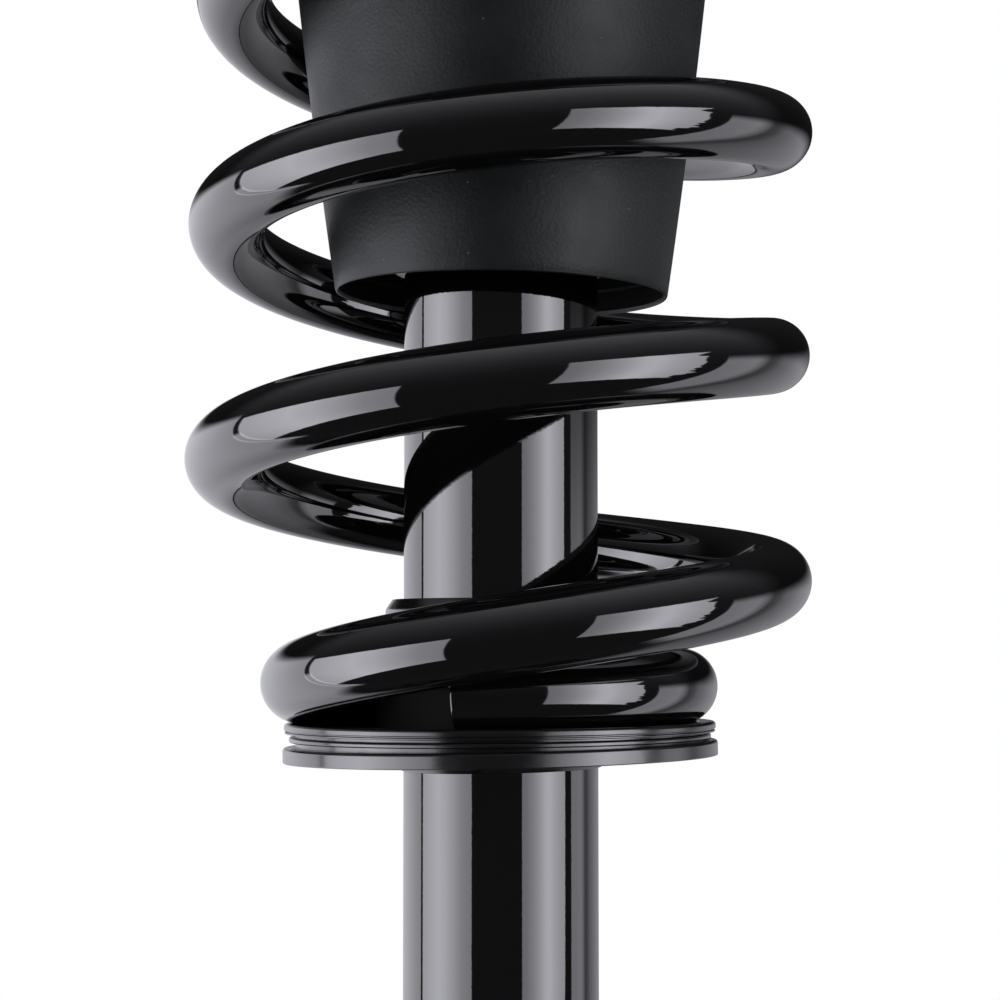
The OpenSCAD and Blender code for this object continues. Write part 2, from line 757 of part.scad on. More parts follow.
// Rubber pad in the pan under the bottom coil; where that coil lies flat its lip cups the wire
module lower_isolator() {
  pad_r = pan_r - soft_gap;
  lip_out_r = pad_r - 0.2;
  lip_in_r = pad_r - 3;
  lip_root = 1;
  collar_r = min(neck_r + 2, end_coil_r - wire_r - 1);
  collar_top = 10;
  function cup(r) = wire_z - sqrt(pow(wire_r + soft_gap, 2) - pow(r - end_coil_r, 2));
  color(rubber) difference() {
    canted() {
      turned([
        [neck_r, pan_floor], [pan_r - perch_t - pan_corner, pan_floor],
        [pan_r - perch_t, pan_floor + pan_corner], [pad_r, hoop_top + 0.8],
        [pad_r, lower_pad_top], [collar_r, lower_pad_top], [collar_r, collar_top],
        [neck_r, collar_top]
      ]);
      rotate([0, 0, wire_end_angle]) rotate_extrude(angle = 360 * pad_lip_turns) polygon(concat(
        [[lip_in_r, lower_pad_top - lip_root], [lip_out_r, lower_pad_top - lip_root]],
        [for (i = [0:4]) let (r = lip_out_r + (lip_in_r - lip_out_r) * i / 4) [r, cup(r)]]
      ));
    }
    translate([0, 0, perch_z - 20]) cylinder(r = neck_r + soft_gap, h = 60);
  }
}

// U-shaped clamp round the tube whose two ears take the knuckle
module knuckle_bracket() {
  bolt_r = knuckle_bolt_d / 2;
  corner = bolt_r + 7;
  wrap_r = tube_r + bracket_t;
  color(black_paint) difference() {
    union() {
      translate([0, 0, knuckle_bottom]) cylinder(r = wrap_r, h = knuckle_h);
      for (side = [-1, 1]) translate([0, side * (ear_gap + bracket_t) / 2 + bracket_t / 2, knuckle_mid])
        rotate([90, 0, 0]) linear_extrude(bracket_t) {
          translate([0, -knuckle_h / 2]) square([ear_reach, knuckle_h]);
          for (s = [-1, 1]) translate([ear_reach, s * knuckle_bolt_spacing / 2])
            circle(r = corner);
          translate([ear_reach, -knuckle_bolt_spacing / 2]) square([corner, knuckle_bolt_spacing]);
        }
    }
    bore(tube_r, knuckle_bottom, knuckle_bottom + knuckle_h);
    translate([tube_r * 0.6, -ear_gap / 2, knuckle_bottom - 1])
      cube([ear_reach + 2 * corner, ear_gap, knuckle_h + 2]);
    for (s = [-1, 1])
      translate([ear_reach, ear_gap, knuckle_mid + s * knuckle_bolt_spacing / 2])
        rotate([90, 0, 0]) cylinder(r = bolt_r, h = 2 * ear_gap);
  }
}

// Saddle and upright ear for the anti-roll bar link
module link_bracket() {
  saddle_r = tube_r + saddle_t;
  ear_t = 5;
  color(black_paint) difference() {
    union() {
      translate([0, 0, link_mid - link_h / 2]) cylinder(r = saddle_r, h = link_h);
      translate([-ear_t / 2, 0, link_mid]) rotate([90, 0, 90]) linear_extrude(ear_t) {
        translate([0, -link_h / 2]) square([link_reach, link_h]);
        translate([link_reach, 0]) circle(r = link_h / 2);
      }
    }
    bore(tube_r, link_mid - link_h / 2, link_mid + link_h / 2);
    translate([-ear_gap, link_reach, link_mid]) rotate([0, 90, 0])
      cylinder(d = link_hole_d, h = 2 * ear_gap);
  }
}

// Curved foot and level tab that holds the brake hose
module hose_bracket() {
  foot_t = 2.5;
  tab_l = 24;
  tab_w = 22;
  foot_r = tube_r + saddle_t + foot_t;
  color(black_paint) rotate([0, 0, hose_angle]) difference() {
    union() {
      intersection() {
        ring(foot_r, tube_r + saddle_t, hose_mid - hose_h / 2, hose_mid + hose_h / 2);
        translate([0, -tab_w / 2, hose_mid - hose_h]) cube([2 * foot_r, tab_w, 2 * hose_h]);
      }
      translate([foot_r - 1, -tab_w / 2, hose_mid + hose_h / 2 - foot_t]) cube([tab_l - 10, tab_w, foot_t]);
      translate([foot_r + tab_l - 11, 0, hose_mid + hose_h / 2 - foot_t])
        cylinder(d = tab_w, h = foot_t);
    }
    translate([foot_r + tab_l - 11, 0, 0]) bore(hose_hole_d / 2, hose_mid, hose_mid + hose_h);
  }
}

// Fillet welds on the tube: under the perch and at both rims of each bracket
module weld_beads() {
  color("#2b2b2e") {
    difference() {
      canted() turned([
        [tube_r - 1, hoop_bottom], [tube_r + weld_leg, hoop_bottom],
        [tube_r + weld_toe, hoop_bottom - weld_leg], [tube_r - 1, hoop_bottom - weld_leg]
      ]);
      translate([0, 0, perch_z - 20]) cylinder(r = tube_r, h = 60);
    }
    for (z = [knuckle_bottom + knuckle_h, link_mid + link_h / 2]) turned([
      [tube_r, z], [tube_r + weld_leg, z], [tube_r + weld_toe, z + weld_leg],
      [tube_r, z + weld_leg]
    ]);
  }
}

mount_plate();
mount_lower_shell();
mount_rubber();
mount_sleeve();
mount_studs();
rod_washer();
rod_nut();
bearing_upper_race();
bump_stop_cup();
bump_stop();
piston_rod();
rebound_stop();
rebound_bumper();
compression_shims();
piston();
piston_band();
rebound_shims();
piston_nut();
bearing_cage();
bearing_balls();
bearing_lower_race();
upper_spring_seat();
upper_isolator();
dust_boot();
coil_spring();
outer_tube();
tube_end_cap();
striker_cap();
rod_seal();
rod_guide();
guide_bush();
inner_cylinder();
base_valve();
base_valve_shims();
base_valve_bolt();
spring_perch();
perch_hoop();
lower_isolator();
knuckle_bracket();
link_bracket();
hose_bracket();
weld_beads();
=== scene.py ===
import json
import logging
import math
from dataclasses import dataclass, field
from enum import Enum
from typing import Any, Callable, Optional, Sequence

import bmesh
import bpy
import numpy as np
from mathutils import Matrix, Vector


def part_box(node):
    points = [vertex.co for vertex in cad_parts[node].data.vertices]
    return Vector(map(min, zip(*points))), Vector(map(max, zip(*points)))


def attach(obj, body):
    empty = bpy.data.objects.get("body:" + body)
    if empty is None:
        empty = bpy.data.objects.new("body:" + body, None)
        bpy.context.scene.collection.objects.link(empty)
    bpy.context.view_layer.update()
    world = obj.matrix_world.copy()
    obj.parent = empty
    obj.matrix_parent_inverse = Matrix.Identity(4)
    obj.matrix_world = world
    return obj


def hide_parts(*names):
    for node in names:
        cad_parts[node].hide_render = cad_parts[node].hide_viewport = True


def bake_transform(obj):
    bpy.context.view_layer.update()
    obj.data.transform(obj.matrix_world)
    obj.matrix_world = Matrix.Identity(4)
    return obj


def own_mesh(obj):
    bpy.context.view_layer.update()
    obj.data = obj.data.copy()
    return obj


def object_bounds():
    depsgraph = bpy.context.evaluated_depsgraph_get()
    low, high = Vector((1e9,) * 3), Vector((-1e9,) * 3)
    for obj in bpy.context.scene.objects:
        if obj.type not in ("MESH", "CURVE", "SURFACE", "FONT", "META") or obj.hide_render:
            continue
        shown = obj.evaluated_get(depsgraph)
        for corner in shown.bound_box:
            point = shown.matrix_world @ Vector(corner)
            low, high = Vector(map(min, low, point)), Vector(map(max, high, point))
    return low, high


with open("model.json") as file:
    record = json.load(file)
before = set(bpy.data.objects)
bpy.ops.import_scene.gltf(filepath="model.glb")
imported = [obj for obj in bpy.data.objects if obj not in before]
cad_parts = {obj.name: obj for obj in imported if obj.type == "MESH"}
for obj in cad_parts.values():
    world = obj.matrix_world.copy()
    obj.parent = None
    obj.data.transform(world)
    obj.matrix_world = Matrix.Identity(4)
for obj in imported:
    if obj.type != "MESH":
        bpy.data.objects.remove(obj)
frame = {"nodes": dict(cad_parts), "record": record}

log = logging.getLogger("strut_assembly")
CAD_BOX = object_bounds()
MM = 0.001


class Body(Enum):
    """The four bodies that move against each other."""

    MOUNT = "top_mount"
    CAGE = "bearing_cage"
    SEAT = "spring_seat"
    DAMPER = "damper"


# ---------------------------------------------------------------- colour and nodes


def linear(hex_colour: str) -> tuple[float, float, float, float]:
    """Turns an sRGB hex colour into Blender's linear RGBA.

    Args:
        hex_colour: Six hex digits after a hash.

    Returns:
        Linear red, green, blue and an alpha of 1.
    """
    coded = [int(hex_colour[i : i + 2], 16) / 255 for i in (1, 3, 5)]
    r, g, b = (c / 12.92 if c <= 0.04045 else ((c + 0.055) / 1.055) ** 2.4 for c in coded)
    return (r, g, b, 1.0)


def per_mm(size: float) -> float:
    """The texture scale, in features per metre, for a feature of this size in millimetres."""
    return 1000.0 / size


def add_node(
    tree: bpy.types.NodeTree, kind: str, links: Optional[dict[Any, Any]] = None, **settings: Any
) -> bpy.types.Node:
    """Adds a node, sets its properties and fills its inputs.

    Args:
        tree: The node tree that gets the node.
        kind: The node's type name without its prefix, such as TexNoise.
        links: For each input, by name or number, a value, a node or an output socket.
        **settings: Properties of the node, such as operation or data_type.

    Returns:
        The new node.
    """
    families = ("ShaderNode", "GeometryNode", "FunctionNode", "Node")
    made = tree.nodes.new(next(f + kind for f in families if hasattr(bpy.types, f + kind)))
    for key, value in settings.items():
        setattr(made, key, value)
    for key, value in (links or {}).items():
        if isinstance(value, bpy.types.Node):
            value = value.outputs[0]
        if isinstance(value, bpy.types.NodeSocket):
            tree.links.new(value, made.inputs[key])
        else:
            made.inputs[key].default_value = value
    return made


# ---------------------------------------------------------------- finishes


# Dust specks: millimetres between the places where one may lie, the distances between which its
# edge fades, as shares of that, and the share of the places that stay clean.
SPECK_CELL = 3.2
SPECK_FADE = (0.075, 0.04)
SPECK_FREE = 0.7


@dataclass(frozen=True)
class Finish:
    """A surface as it is made: its colour, gloss and the fine relief that its process leaves.

    The relief is noise of one size in millimetres and `depth` is its height in millimetres. It is
    stretched `grain` times along the strut axis, or along the wire where `follow` names the
    attribute that holds each point's place on the unrolled wire. `specks` is the colour of the
    dust that settles on it.
    """

    name: str
    colour: str
    roughness: float
    relief: float = 1.0
    depth: float = 0.0
    grain: float = 1.0
    metallic: float = 0.0
    ior: float = 1.5
    specular: float = 0.5
    shade: str = ""
    patch: float = 20.0
    gloss_drift: float = 0.0
    sheen: float = 0.0
    follow: str = ""
    specks: str = ""

    def material(self) -> bpy.types.Material:
        """Builds the node material, or finds it if it is already there.

        Returns:
            The material, ready for a slot.
        """
        made = bpy.data.materials.get(self.name)
        if made is not None:
            return made
        made = bpy.data.materials.new(self.name)
        made.use_nodes = True
        tree = made.node_tree
        tree.nodes.clear()
        place = add_node(tree, "TexCoord").outputs["Object"]
        drift = add_node(
            tree, "TexNoise", {"Vector": place, "Scale": per_mm(self.patch), "Detail": 3.0}
        )
        colour = add_node(
            tree, "Mix",
            {0: drift.outputs[0], 6: linear(self.colour), 7: linear(self.shade or self.colour)},
            data_type="RGBA",
        )
        if self.specks:
            cells = add_node(tree, "TexVoronoi", {"Vector": place, "Scale": per_mm(SPECK_CELL)})
            outside, inside = SPECK_FADE
            speck = add_node(
                tree, "MapRange",
                {"Value": cells.outputs["Distance"], "From Min": outside, "From Max": inside},
            )
            chosen = add_node(tree, "SeparateColor", {0: cells.outputs["Color"]})
            few = add_node(tree, "Math", {0: chosen, 1: SPECK_FREE}, operation="GREATER_THAN")
            shown = add_node(tree, "Math", {0: speck, 1: few}, operation="MULTIPLY")
            colour = add_node(
                tree, "Mix", {0: shown, 6: colour.outputs[2], 7: linear(self.specks)},
                data_type="RGBA",
            )
        rough = add_node(
            tree, "MapRange",
            {
                "Value": drift.outputs[0], "From Min": 0.3, "From Max": 0.7,
                "To Min": max(0.0, self.roughness - self.gloss_drift),
                "To Max": self.roughness + self.gloss_drift,
            },
        )
        shader = add_node(
            tree, "BsdfPrincipled",
            {
                "Base Color": colour.outputs[2], "Roughness": rough, "Metallic": self.metallic,
                "IOR": self.ior, "Sheen Weight": self.sheen, "Specular IOR Level": self.specular,
            },
        )
        if self.depth:
            stretch = (1.0, 1.0, 1.0 / self.grain)
            if self.follow:
                unrolled = add_node(
                    tree, "Attribute", attribute_name=self.follow, attribute_type="GEOMETRY"
                )
                place, stretch = unrolled.outputs["Vector"], stretch[::-1]
            along = add_node(tree, "Mapping", {"Vector": place, "Scale": stretch})
            grit = add_node(
                tree, "TexNoise",
                {"Vector": along, "Scale": per_mm(self.relief), "Detail": 2.0, "Roughness": 0.55},
            )
            bump = add_node(
                tree, "Bump", {"Height": grit, "Strength": 1.0, "Distance": self.depth * MM}
            )
            tree.links.new(bump.outputs[0], shader.inputs["Normal"])
        add_node(tree, "OutputMaterial", {"Surface": shader})
        return made


# Polyester powder coat, sprayed on the wound spring and baked: a black mirror whose orange peel is
# drawn out along the wire, 1 mm from hill to hill across it.
SPRING_COAT = Finish(
    "powder_coated_spring_steel", "#080809", 0.035, relief=1.0, depth=0.0042, grain=3.0,
    shade="#0a0a0b", patch=30.0, gloss_drift=0.01, follow="wire_place",
)
# Stoved enamel on the drawn tube: as glossy, with a peel of the same size that breaks up the
# edges of what it mirrors.
TUBE_ENAMEL = Finish(
    "stoved_enamel_drawn_tube", "#070708", 0.03, relief=1.0, depth=0.0036, shade="#09090a",
    patch=30.0, gloss_drift=0.008,
)
# Electrocoat on the stampings: semi-gloss black over a sheet surface that pressing has roughened.
STAMPING_COAT = Finish(
    "electrocoated_pressed_steel", "#0b0b0c", 0.2, relief=0.8, depth=0.008, shade="#101011",
    patch=9.0, gloss_drift=0.06,
)
# Injection-moulded TPO: charcoal, hardly glossy, with a spark-eroded grain of about 0.5 mm and
# pale dust caught in it.
BOOT_TPO = Finish(
    "spark_grained_moulded_tpo", "#111313", 0.46, relief=0.8, depth=0.09, specular=0.13,
    shade="#171919", patch=9.0, gloss_drift=0.04, specks="#5c5f60",
)
# Painted shade inside the boot: the core side of the same moulding, with no grain, made nearly black to
# stand in for the shadow deep inside it.
BOOT_INSIDE_PAINTED_SHADE = Finish(
    "painted_shade_boot_inside_tpo", "#060606", 0.7, relief=2.0, depth=0.01, specular=0.04,
    shade="#080808", patch=15.0,
)
# Natural rubber compound, compression moulded: dull black with a bloom of sulphur here and there.
RUBBER = Finish(
    "moulded_natural_rubber", "#0d0d0e", 0.66, relief=0.7, depth=0.012, specular=0.15,
    shade="#131314", patch=14.0, gloss_drift=0.06,
)
# Zinc electroplate, clear passivated: bluish grey, cloudy in patches.
ZINC = Finish(
    "clear_passivated_zinc_plate", "#a9adb3", 0.3, relief=0.5, depth=0.003, metallic=1.0,
    shade="#b7b8b4", patch=8.0, gloss_drift=0.06,
)
# Hard chrome ground and superfinished: nearly a mirror.
CHROME = Finish(
    "superfinished_hard_chrome", "#c9ccd0", 0.06, relief=0.25, depth=0.0002, metallic=1.0,
    shade="#c3c6ca", patch=40.0, gloss_drift=0.01,
)
# Through-hardened ball steel, lapped.
BALL_STEEL = Finish(
    "lapped_bearing_steel", "#b9bcc0", 0.09, relief=0.3, depth=0.0003, metallic=1.0,
    shade="#c4c6c9", patch=5.0,
)
# Cold-rolled valve spring steel, blued by tempering.
SHIM_STEEL = Finish(
    "tempered_spring_steel", "#7b8087", 0.22, relief=0.6, depth=0.001, metallic=1.0,
    shade="#6a6f7a", patch=6.0, gloss_drift=0.04,
)
# Iron powder pressed and sintered: dark, open pores about 0.2 mm across.
SINTER = Finish(
    "steam_treated_sintered_iron", "#4a4c50", 0.48, relief=0.35, depth=0.02, metallic=0.85,
    shade="#3a3b3f", patch=1.5, gloss_drift=0.08,
)
# Cold-drawn tube: drawing lines run along it.
DRAWN = Finish(
    "oiled_cold_drawn_steel", "#8c9096", 0.26, relief=0.4, depth=0.003, grain=40.0, metallic=1.0,
    shade="#7d8187", patch=12.0, gloss_drift=0.05,
)
# Glass-filled nylon race: dull with flow marks.
RACE_NYLON = Finish(
    "glass_filled_nylon", "#202123", 0.45, relief=0.4, depth=0.008, shade="#282a2c",
    patch=6.0, gloss_drift=0.05,
)
# Unfilled nylon cage: creamy and slightly waxy.
CAGE_NYLON = Finish(
    "natural_nylon_6_6", "#d3cbb6", 0.38, relief=0.8, depth=0.004, shade="#c8bfa6",
    patch=5.0, gloss_drift=0.05,
)
# Bronze-filled PTFE piston band.
BAND = Finish(
    "bronze_filled_ptfe", "#4a5247", 0.5, relief=0.5, depth=0.006, shade="#5a5a46",
    patch=1.2, gloss_drift=0.05,
)
# Rolled bronze bush with a lead-bronze face.
BRONZE = Finish(
    "rolled_lead_bronze", "#97713f", 0.34, relief=0.4, depth=0.004, metallic=1.0,
    shade="#7f5f3a", patch=3.0, gloss_drift=0.06,
)
# Microcellular polyurethane: buff, matt, full of closed cells about 0.5 mm across.
FOAM = Finish(
    "microcellular_polyurethane", "#c2a56a", 0.8, relief=0.6, depth=0.09, shade="#b4965c",
    patch=7.0, gloss_drift=0.05, sheen=0.1,
)

FINISH_OF_SLOT: dict[str, Finish] = {
    "pressing_paint": STAMPING_COAT,
    "tube_paint": TUBE_ENAMEL,
    "spring_paint": SPRING_COAT,
    "zinc_steel": ZINC,
    "bearing_steel": BALL_STEEL,
    "spring_steel": SHIM_STEEL,
    "chromed_rod": CHROME,
    "sintered_iron": SINTER,
    "drawn_steel": DRAWN,
    "moulded_rubber": RUBBER,
    "boot_plastic": BOOT_TPO,
    "race_plastic": RACE_NYLON,
    "cage_plastic": CAGE_NYLON,
    "band_ptfe": BAND,
    "bush_bronze": BRONZE,
    "stop_foam": FOAM,
}


# ---------------------------------------------------------------- surfaces


# The most of an edge that one corner's arc takes, and how far outside the arc the point that
# keeps the flat lies, as a share of the arc's reach.
EDGE_SHARE = 0.46
FLAT_SHARE = 0.12


def smooth_step(x: np.ndarray) -> np.ndarray:
    """Rises from 0 to 1 as 3x^2 - 2x^3 between x = 0 and x = 1."""
    x = np.clip(x, 0.0, 1.0)
    return x * x * (3.0 - 2.0 * x)


def step_area(x: np.ndarray) -> np.ndarray:
    """The area under smooth_step from 0 to x: x^3 - x^4/2, then x - 1/2."""
    return np.where(x <= 0, 0.0, np.where(x >= 1, x - 0.5, x**3 - x**4 / 2))


def rounded(
    corners: Sequence[Sequence[float]], radii: Sequence[float] | float, steps: int = 5
) -> np.ndarray:
    """Rounds every corner of a closed outline with a true arc.

    At each corner the arc touches both edges at r / tan(half angle) from it, at most EDGE_SHARE
    of the shorter edge, and its points are interpolated on the circle from one touching point
    to the other. A point just outside each end of the arc keeps the flats flat when shaded.

    Args:
        corners: The outline's corners, in order.
        radii: One radius per corner, or one for all.
        steps: Points along each arc.

    Returns:
        The rounded outline, one row a point.
    """
    p = np.asarray(corners, float)
    r = np.broadcast_to(np.asarray(radii, float), (len(p),))
    before, after = np.roll(p, 1, 0) - p, np.roll(p, -1, 0) - p
    len_b, len_a = np.linalg.norm(before, axis=1), np.linalg.norm(after, axis=1)
    u, v = before / len_b[:, None], after / len_a[:, None]
    half = np.arccos(np.clip((u * v).sum(1), -1, 1)) / 2
    limit = EDGE_SHARE * np.minimum(len_b, len_a)
    reach = np.minimum(r / np.tan(np.maximum(half, 1e-4)), limit)
    radius = reach * np.tan(half)
    middle = u + v
    size = np.linalg.norm(middle, axis=1)
    straight = size < 1e-3
    inwards = middle / np.maximum(size, 1e-9)[:, None]
    centre = p + inwards * (radius / np.maximum(np.sin(half), 1e-9))[:, None]
    first, last = p + u * reach[:, None], p + v * reach[:, None]
    turn = np.where(straight, 1e-3, math.pi - 2 * half)
    s = np.linspace(0, 1, steps)[None, :, None]
    a, b = (first - centre)[:, None, :], (last - centre)[:, None, :]
    w = turn[:, None, None]
    arc = centre[:, None, :] + (a * np.sin((1 - s) * w) + b * np.sin(s * w)) / np.sin(w)
    arc[straight] = (first[:, None, :] * (1 - s) + last[:, None, :] * s)[straight]
    ease = (reach * FLAT_SHARE)[:, None]
    full = np.concatenate([(first + u * ease)[:, None], arc, (last + v * ease)[:, None]], axis=1)
    return full.reshape(-1, 2)


def build_mesh(
    name: str, points: np.ndarray, faces: list[Sequence[int]], merge: float = 0.0, sharp: float = 50.0
) -> bpy.types.Object:
    """Puts points and faces into a new object at the origin.

    Args:
        name: The object's name.
        points: Corner positions in millimetres.
        faces: Corner numbers of each face, anticlockwise from outside.
        merge: Joins corners closer than this, in millimetres.
        sharp: Edges that turn more than this many degrees stay crisp.

    Returns:
        The object, linked to the scene.
    """
    mesh = bpy.data.meshes.new(name)
    mesh.from_pydata((points * MM).tolist(), [], faces)
    if merge:
        work = bmesh.new()
        work.from_mesh(mesh)
        bmesh.ops.remove_doubles(work, verts=work.verts, dist=merge * MM)
        bmesh.ops.dissolve_degenerate(work, edges=work.edges, dist=merge * MM)
        work.to_mesh(mesh)
        work.free()
    mesh.update()
    mesh.shade_smooth()
    mesh.set_sharp_from_angle(angle=math.radians(sharp))
    made = bpy.data.objects.new(name, mesh)
    bpy.context.scene.collection.objects.link(made)
    return made


def grid_faces(rows: int, columns: int, wrap_rows: bool, wrap_columns: bool) -> list[list[int]]:
    """Quads between neighbours of a grid of rows by columns, numbered row by row.

    Args:
        rows: Number of rows.
        columns: Number of columns.
        wrap_rows: Whether the last row joins the first.
        wrap_columns: Whether the last column joins the first.

    Returns:
        Four corner numbers a face.
    """
    i = np.arange(rows if wrap_rows else rows - 1)[:, None]
    j = np.arange(columns if wrap_columns else columns - 1)[None, :]
    i2, j2 = (i + 1) % rows, (j + 1) % columns
    quads = np.stack(
        [i * columns + j, i2 * columns + j, i2 * columns + j2, i * columns + j2], axis=-1
    )
    return quads.reshape(-1, 4).tolist()


Warp = Callable[[np.ndarray], np.ndarray]


def turned(
    name: str, outline: np.ndarray, segments: int = 144, warp: Optional[Warp] = None,
    start: float = 0.0, sweep: float = 360.0,
) -> bpy.types.Object:
    """Carries a closed outline round the strut axis: x = r cos a, y = r sin a, z = z.

    Args:
        name: The piece's name.
        outline: Closed outline of radius and height, in millimetres.
        segments: Steps round the axis.
        warp: Moves the finished points, such as a tilt.
        start: Angle of the first section, in degrees.
        sweep: Angle that it covers; less than a full turn gets flat ends.

    Returns:
        The piece.
    """
    r, z = outline[:, 0], outline[:, 1]
    area = np.sum(r * np.roll(z, -1) - np.roll(r, -1) * z)
    if area < 0:
        r, z = r[::-1], z[::-1]
    whole = sweep >= 360.0
    a = np.radians(start + sweep * np.arange(segments + (0 if whole else 1)) / segments)
    points = np.stack(
        [r[None] * np.cos(a)[:, None], r[None] * np.sin(a)[:, None], np.broadcast_to(z, (len(a), len(z)))],
        axis=-1,
    ).reshape(-1, 3)
    faces = grid_faces(len(a), len(r), whole, True)
    if not whole:
        count = len(r)
        faces.append(list(range(count)))
        faces.append([(len(a) - 1) * count + k for k in range(count - 1, -1, -1)])
    if warp is not None:
        points = warp(points)
    return build_mesh(name, points, faces, merge=0.004 if r.min() < 0.01 else 0.0)


def swept_tube(name: str, path: np.ndarray, radius: np.ndarray, sides: int) -> bpy.types.Object:
    """Carries a circle along a path, square to it, and closes both ends with a fan.

    Each ring lies on c + r (cos b * side + sin b * up), where side is the path's direction
    crossed with the strut axis.

    Args:
        name: The piece's name.
        path: Points of the centreline, in millimetres.
        radius: The circle's radius at each point.
        sides: Corners of each ring.

    Returns:
        The piece.
    """
    along = np.gradient(path, axis=0)
    along /= np.linalg.norm(along, axis=1)[:, None]
    side = np.cross(along, [0.0, 0.0, 1.0])
    side /= np.linalg.norm(side, axis=1)[:, None]
    up = np.cross(side, along)
    b = 2 * np.pi * np.arange(sides) / sides
    ring = np.cos(b)[None, :, None] * side[:, None] + np.sin(b)[None, :, None] * up[:, None]
    points = (path[:, None] + radius[:, None, None] * ring).reshape(-1, 3)
    faces = grid_faces(len(path), sides, False, True)
    first, last = len(points), len(points) + 1
    points = np.vstack([points, path[0], path[-1]])
    base = (len(path) - 1) * sides
    faces += [[first, k, (k + 1) % sides] for k in range(sides)]
    faces += [[last, base + (k + 1) % sides, base + k] for k in range(sides)]
    return build_mesh(name, points, faces)


def dress(piece: bpy.types.Object, body: Body, slot: str, *nodes: str) -> bpy.types.Object:
    """Gives a new piece its finish, its body and the CAD nodes that it stands for.

    Args:
        piece: The piece.
        body: The body that it rides on.
        slot: The record's material slot.
        *nodes: CAD nodes that it replaces.

    Returns:
        The piece.
    """
    piece.data.materials.clear()
    piece.data.materials.append(FINISH_OF_SLOT[slot].material())
    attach(piece, body.value)
    if nodes:
        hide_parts(*nodes)
    log.info("%s rides on %s, %d faces", piece.name, body.value, len(piece.data.polygons))
    return piece


def node_top(node: str) -> float:
    """The height of a CAD node's highest point, in millimetres."""
    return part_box(node)[1].z / MM


def node_bottom(node: str) -> float:
    """The height of a CAD node's lowest point, in millimetres."""
    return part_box(node)[0].z / MM


# ---------------------------------------------------------------- sub-assemblies


@dataclass
class Damper:
    """The damper's painted tube, with its rolled-in top edge."""

    tube_r: float = 22.5
    wall: float = 2.5
    above_perch: float = 112.0
    lip: float = 1.2
    perch: float = field(init=False)

    def __post_init__(self) -> None:
        """Takes the perch datum from the tube's top."""
        self.perch = node_top("outer_tube") - self.above_perch

    def tube(self) -> bpy.types.Object:
        """Builds the damper tube as a turned shell.

        Returns:
            The piece.
        """
        low, top = node_bottom("outer_tube"), node_top("outer_tube")
        inner = self.tube_r - self.wall
        outline = rounded(
            [
                (inner, low), (self.tube_r, low), (self.tube_r, top), (inner - 2.5, top),
                (inner - 2.5, top - self.lip), (inner, top - self.lip),
            ],
            [0.1, 0.1, 0.8, 0.4, 0.2, 0.2],
        )
        return turned("damper_tube", outline, 192)

    def make(self) -> None:
        """Builds and dresses every piece."""
        dress(self.tube(), Body.DAMPER, "tube_paint", "outer_tube")


